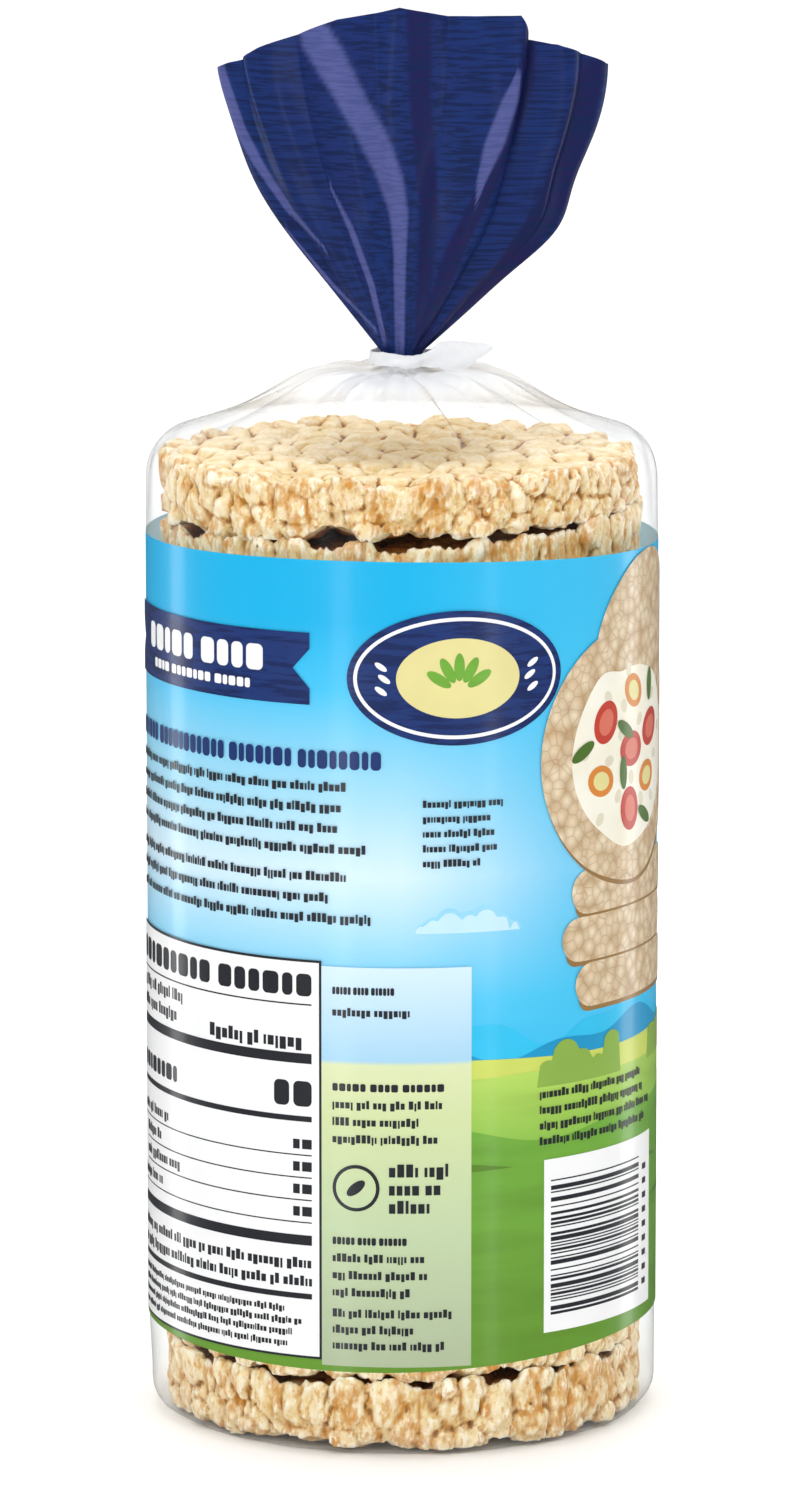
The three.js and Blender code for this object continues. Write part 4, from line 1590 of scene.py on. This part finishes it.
def build_stage(settings):
    """A pale floor that curves up into a wall all round, soft lamps and the camera."""
    profile = [(0.001, 0.0), (0.6, 0.0), (2.0, 0.0)]
    for turn in np.linspace(0, math.pi / 2, 13):
        profile.append((FLOOR_REACH + WALL_BEND * math.sin(turn), WALL_BEND * (1 - math.cos(turn))))
    profile.append((FLOOR_REACH + WALL_BEND, WALL_HEIGHT))
    angle = np.arange(STAGE_COLUMNS) / STAGE_COLUMNS * TURN
    points = np.concatenate([on_circle(radius, angle, height - FLOOR_DROP) for radius, height in profile])
    faces = [tuple(range(STAGE_COLUMNS))]
    for first in range(0, (len(profile) - 1) * STAGE_COLUMNS, STAGE_COLUMNS):
        for i in range(STAGE_COLUMNS):
            j = (i + 1) % STAGE_COLUMNS
            faces.append((first + i, first + j, first + STAGE_COLUMNS + j, first + STAGE_COLUMNS + i))
    mesh = bpy.data.meshes.new("backdrop")
    mesh.from_pydata(points.tolist(), [], faces)
    mesh.shade_smooth()
    backdrop = bpy.data.objects.new("backdrop", mesh)
    bpy.context.scene.collection.objects.link(backdrop)
    shader = Shader("pale backdrop")
    speckle = shader.noise(shader.place(), 0.5, 1.0)
    base = shader.blend(speckle, (0.93, 0.93, 0.93), (0.90, 0.90, 0.90))
    mesh.materials.append(shader.surface(base, 0.8))

    backdrop.visible_glossy = False
    bpy.context.scene.view_settings.view_transform = "Standard"
    world = bpy.data.worlds.new("studio")
    world.use_nodes = True
    sky = world.node_tree.nodes["Background"].inputs
    sky["Color"].default_value = (0.95, 0.97, 1.0, 1)
    sky["Strength"].default_value = WORLD_LIGHT * settings.brightness
    bpy.context.scene.world = world

    for name, place, wide, tall, watts in LAMPS:
        data = bpy.data.lights.new(name, "AREA")
        data.shape = "RECTANGLE"
        data.size, data.size_y = wide, tall
        data.energy = watts * settings.brightness
        lamp = bpy.data.objects.new(name, data)
        lamp.visible_camera = False
        lamp.location = place
        if not name.startswith("wash"):  # those light the floor and point straight down
            lamp.rotation_euler = (LAMP_AIM - Vector(place)).to_track_quat("-Z", "Y").to_euler()
        bpy.context.scene.collection.objects.link(lamp)

    data = bpy.data.cameras.new("camera")
    data.lens = settings.lens
    data.sensor_width = 36.0
    data.clip_start, data.clip_end = 0.1, 20.0
    camera = bpy.data.objects.new("camera", data)
    back = Vector((0, -math.cos(settings.elevation), math.sin(settings.elevation)))
    camera.location = Vector((0, 0, settings.aim)) + back * settings.distance
    camera.rotation_euler = (-back).to_track_quat("-Z", "Y").to_euler()
    bpy.context.scene.collection.objects.link(camera)
    bpy.context.scene.camera = camera


# ---------------------------------------------------------------- add-on


class PACK_OT_add_cakes(bpy.types.Operator):
    """Add the stack of puffed rice cakes"""

    bl_idname = "rice_pack.add_cakes"
    bl_label = "Rice cakes"

    def execute(self, context):
        build_cakes(context.scene.pack_stack)
        return {"FINISHED"}


class PACK_OT_add_film(bpy.types.Operator):
    """Add the clear film round the cakes"""

    bl_idname = "rice_pack.add_film"
    bl_label = "Clear film"

    def execute(self, context):
        build_clear_film(context.scene.pack_film)
        return {"FINISHED"}


class PACK_OT_add_tail(bpy.types.Operator):
    """Add the printed tail above the neck"""

    bl_idname = "rice_pack.add_tail"
    bl_label = "Tail"

    def execute(self, context):
        build_tail(context.scene.pack_film)
        return {"FINISHED"}


class PACK_OT_add_tape(bpy.types.Operator):
    """Add the tape round the neck"""

    bl_idname = "rice_pack.add_tape"
    bl_label = "Neck tape"

    def execute(self, context):
        build_tape(context.scene.pack_tape)
        return {"FINISHED"}


class PACK_OT_add_print(bpy.types.Operator):
    """Add the printed fields round the bag"""

    bl_idname = "rice_pack.add_print"
    bl_label = "Print"

    def execute(self, context):
        build_print(context.scene.pack_print)
        return {"FINISHED"}


class PACK_OT_add_stage(bpy.types.Operator):
    """Add the floor, the lamps and the camera"""

    bl_idname = "rice_pack.add_stage"
    bl_label = "Stage"

    def execute(self, context):
        build_stage(context.scene.pack_stage)
        return {"FINISHED"}


OPERATORS = (
    PACK_OT_add_stage, PACK_OT_add_cakes, PACK_OT_add_film, PACK_OT_add_tail,
    PACK_OT_add_tape, PACK_OT_add_print,
)
SETTINGS = {
    "pack_stack": StackSettings, "pack_film": FilmSettings, "pack_print": PrintSettings,
    "pack_tape": TapeSettings, "pack_stage": StageSettings,
}


class PACK_PT_sidebar(bpy.types.Panel):
    """Lists the pack's settings and the operators that build it"""

    bl_idname = "PACK_PT_sidebar"
    bl_label = "Rice cake pack"
    bl_space_type = "VIEW_3D"
    bl_region_type = "UI"
    bl_category = "Rice pack"

    def draw(self, context):
        for operator in OPERATORS:
            self.layout.operator(operator.bl_idname)
        for name, group in SETTINGS.items():
            box_of = self.layout.box()
            for prop in group.__annotations__:
                box_of.prop(getattr(context.scene, name), prop)


def register():
    """Registers the classes and their settings."""
    for group in SETTINGS.values():
        bpy.utils.register_class(group)
    for name, group in SETTINGS.items():
        setattr(bpy.types.Scene, name, bpy.props.PointerProperty(type=group))
    for operator in OPERATORS:
        bpy.utils.register_class(operator)
    bpy.utils.register_class(PACK_PT_sidebar)


def unregister():
    """Takes them away again."""
    bpy.utils.unregister_class(PACK_PT_sidebar)
    for operator in reversed(OPERATORS):
        bpy.utils.unregister_class(operator)
    for name, group in SETTINGS.items():
        delattr(bpy.types.Scene, name)
        bpy.utils.unregister_class(group)


def main():
    """Builds the pack."""
    register()
    for operator in OPERATORS:
        group, name = operator.bl_idname.split(".")
        getattr(getattr(bpy.ops, group), name)()


if __name__ == "__main__":
    main()
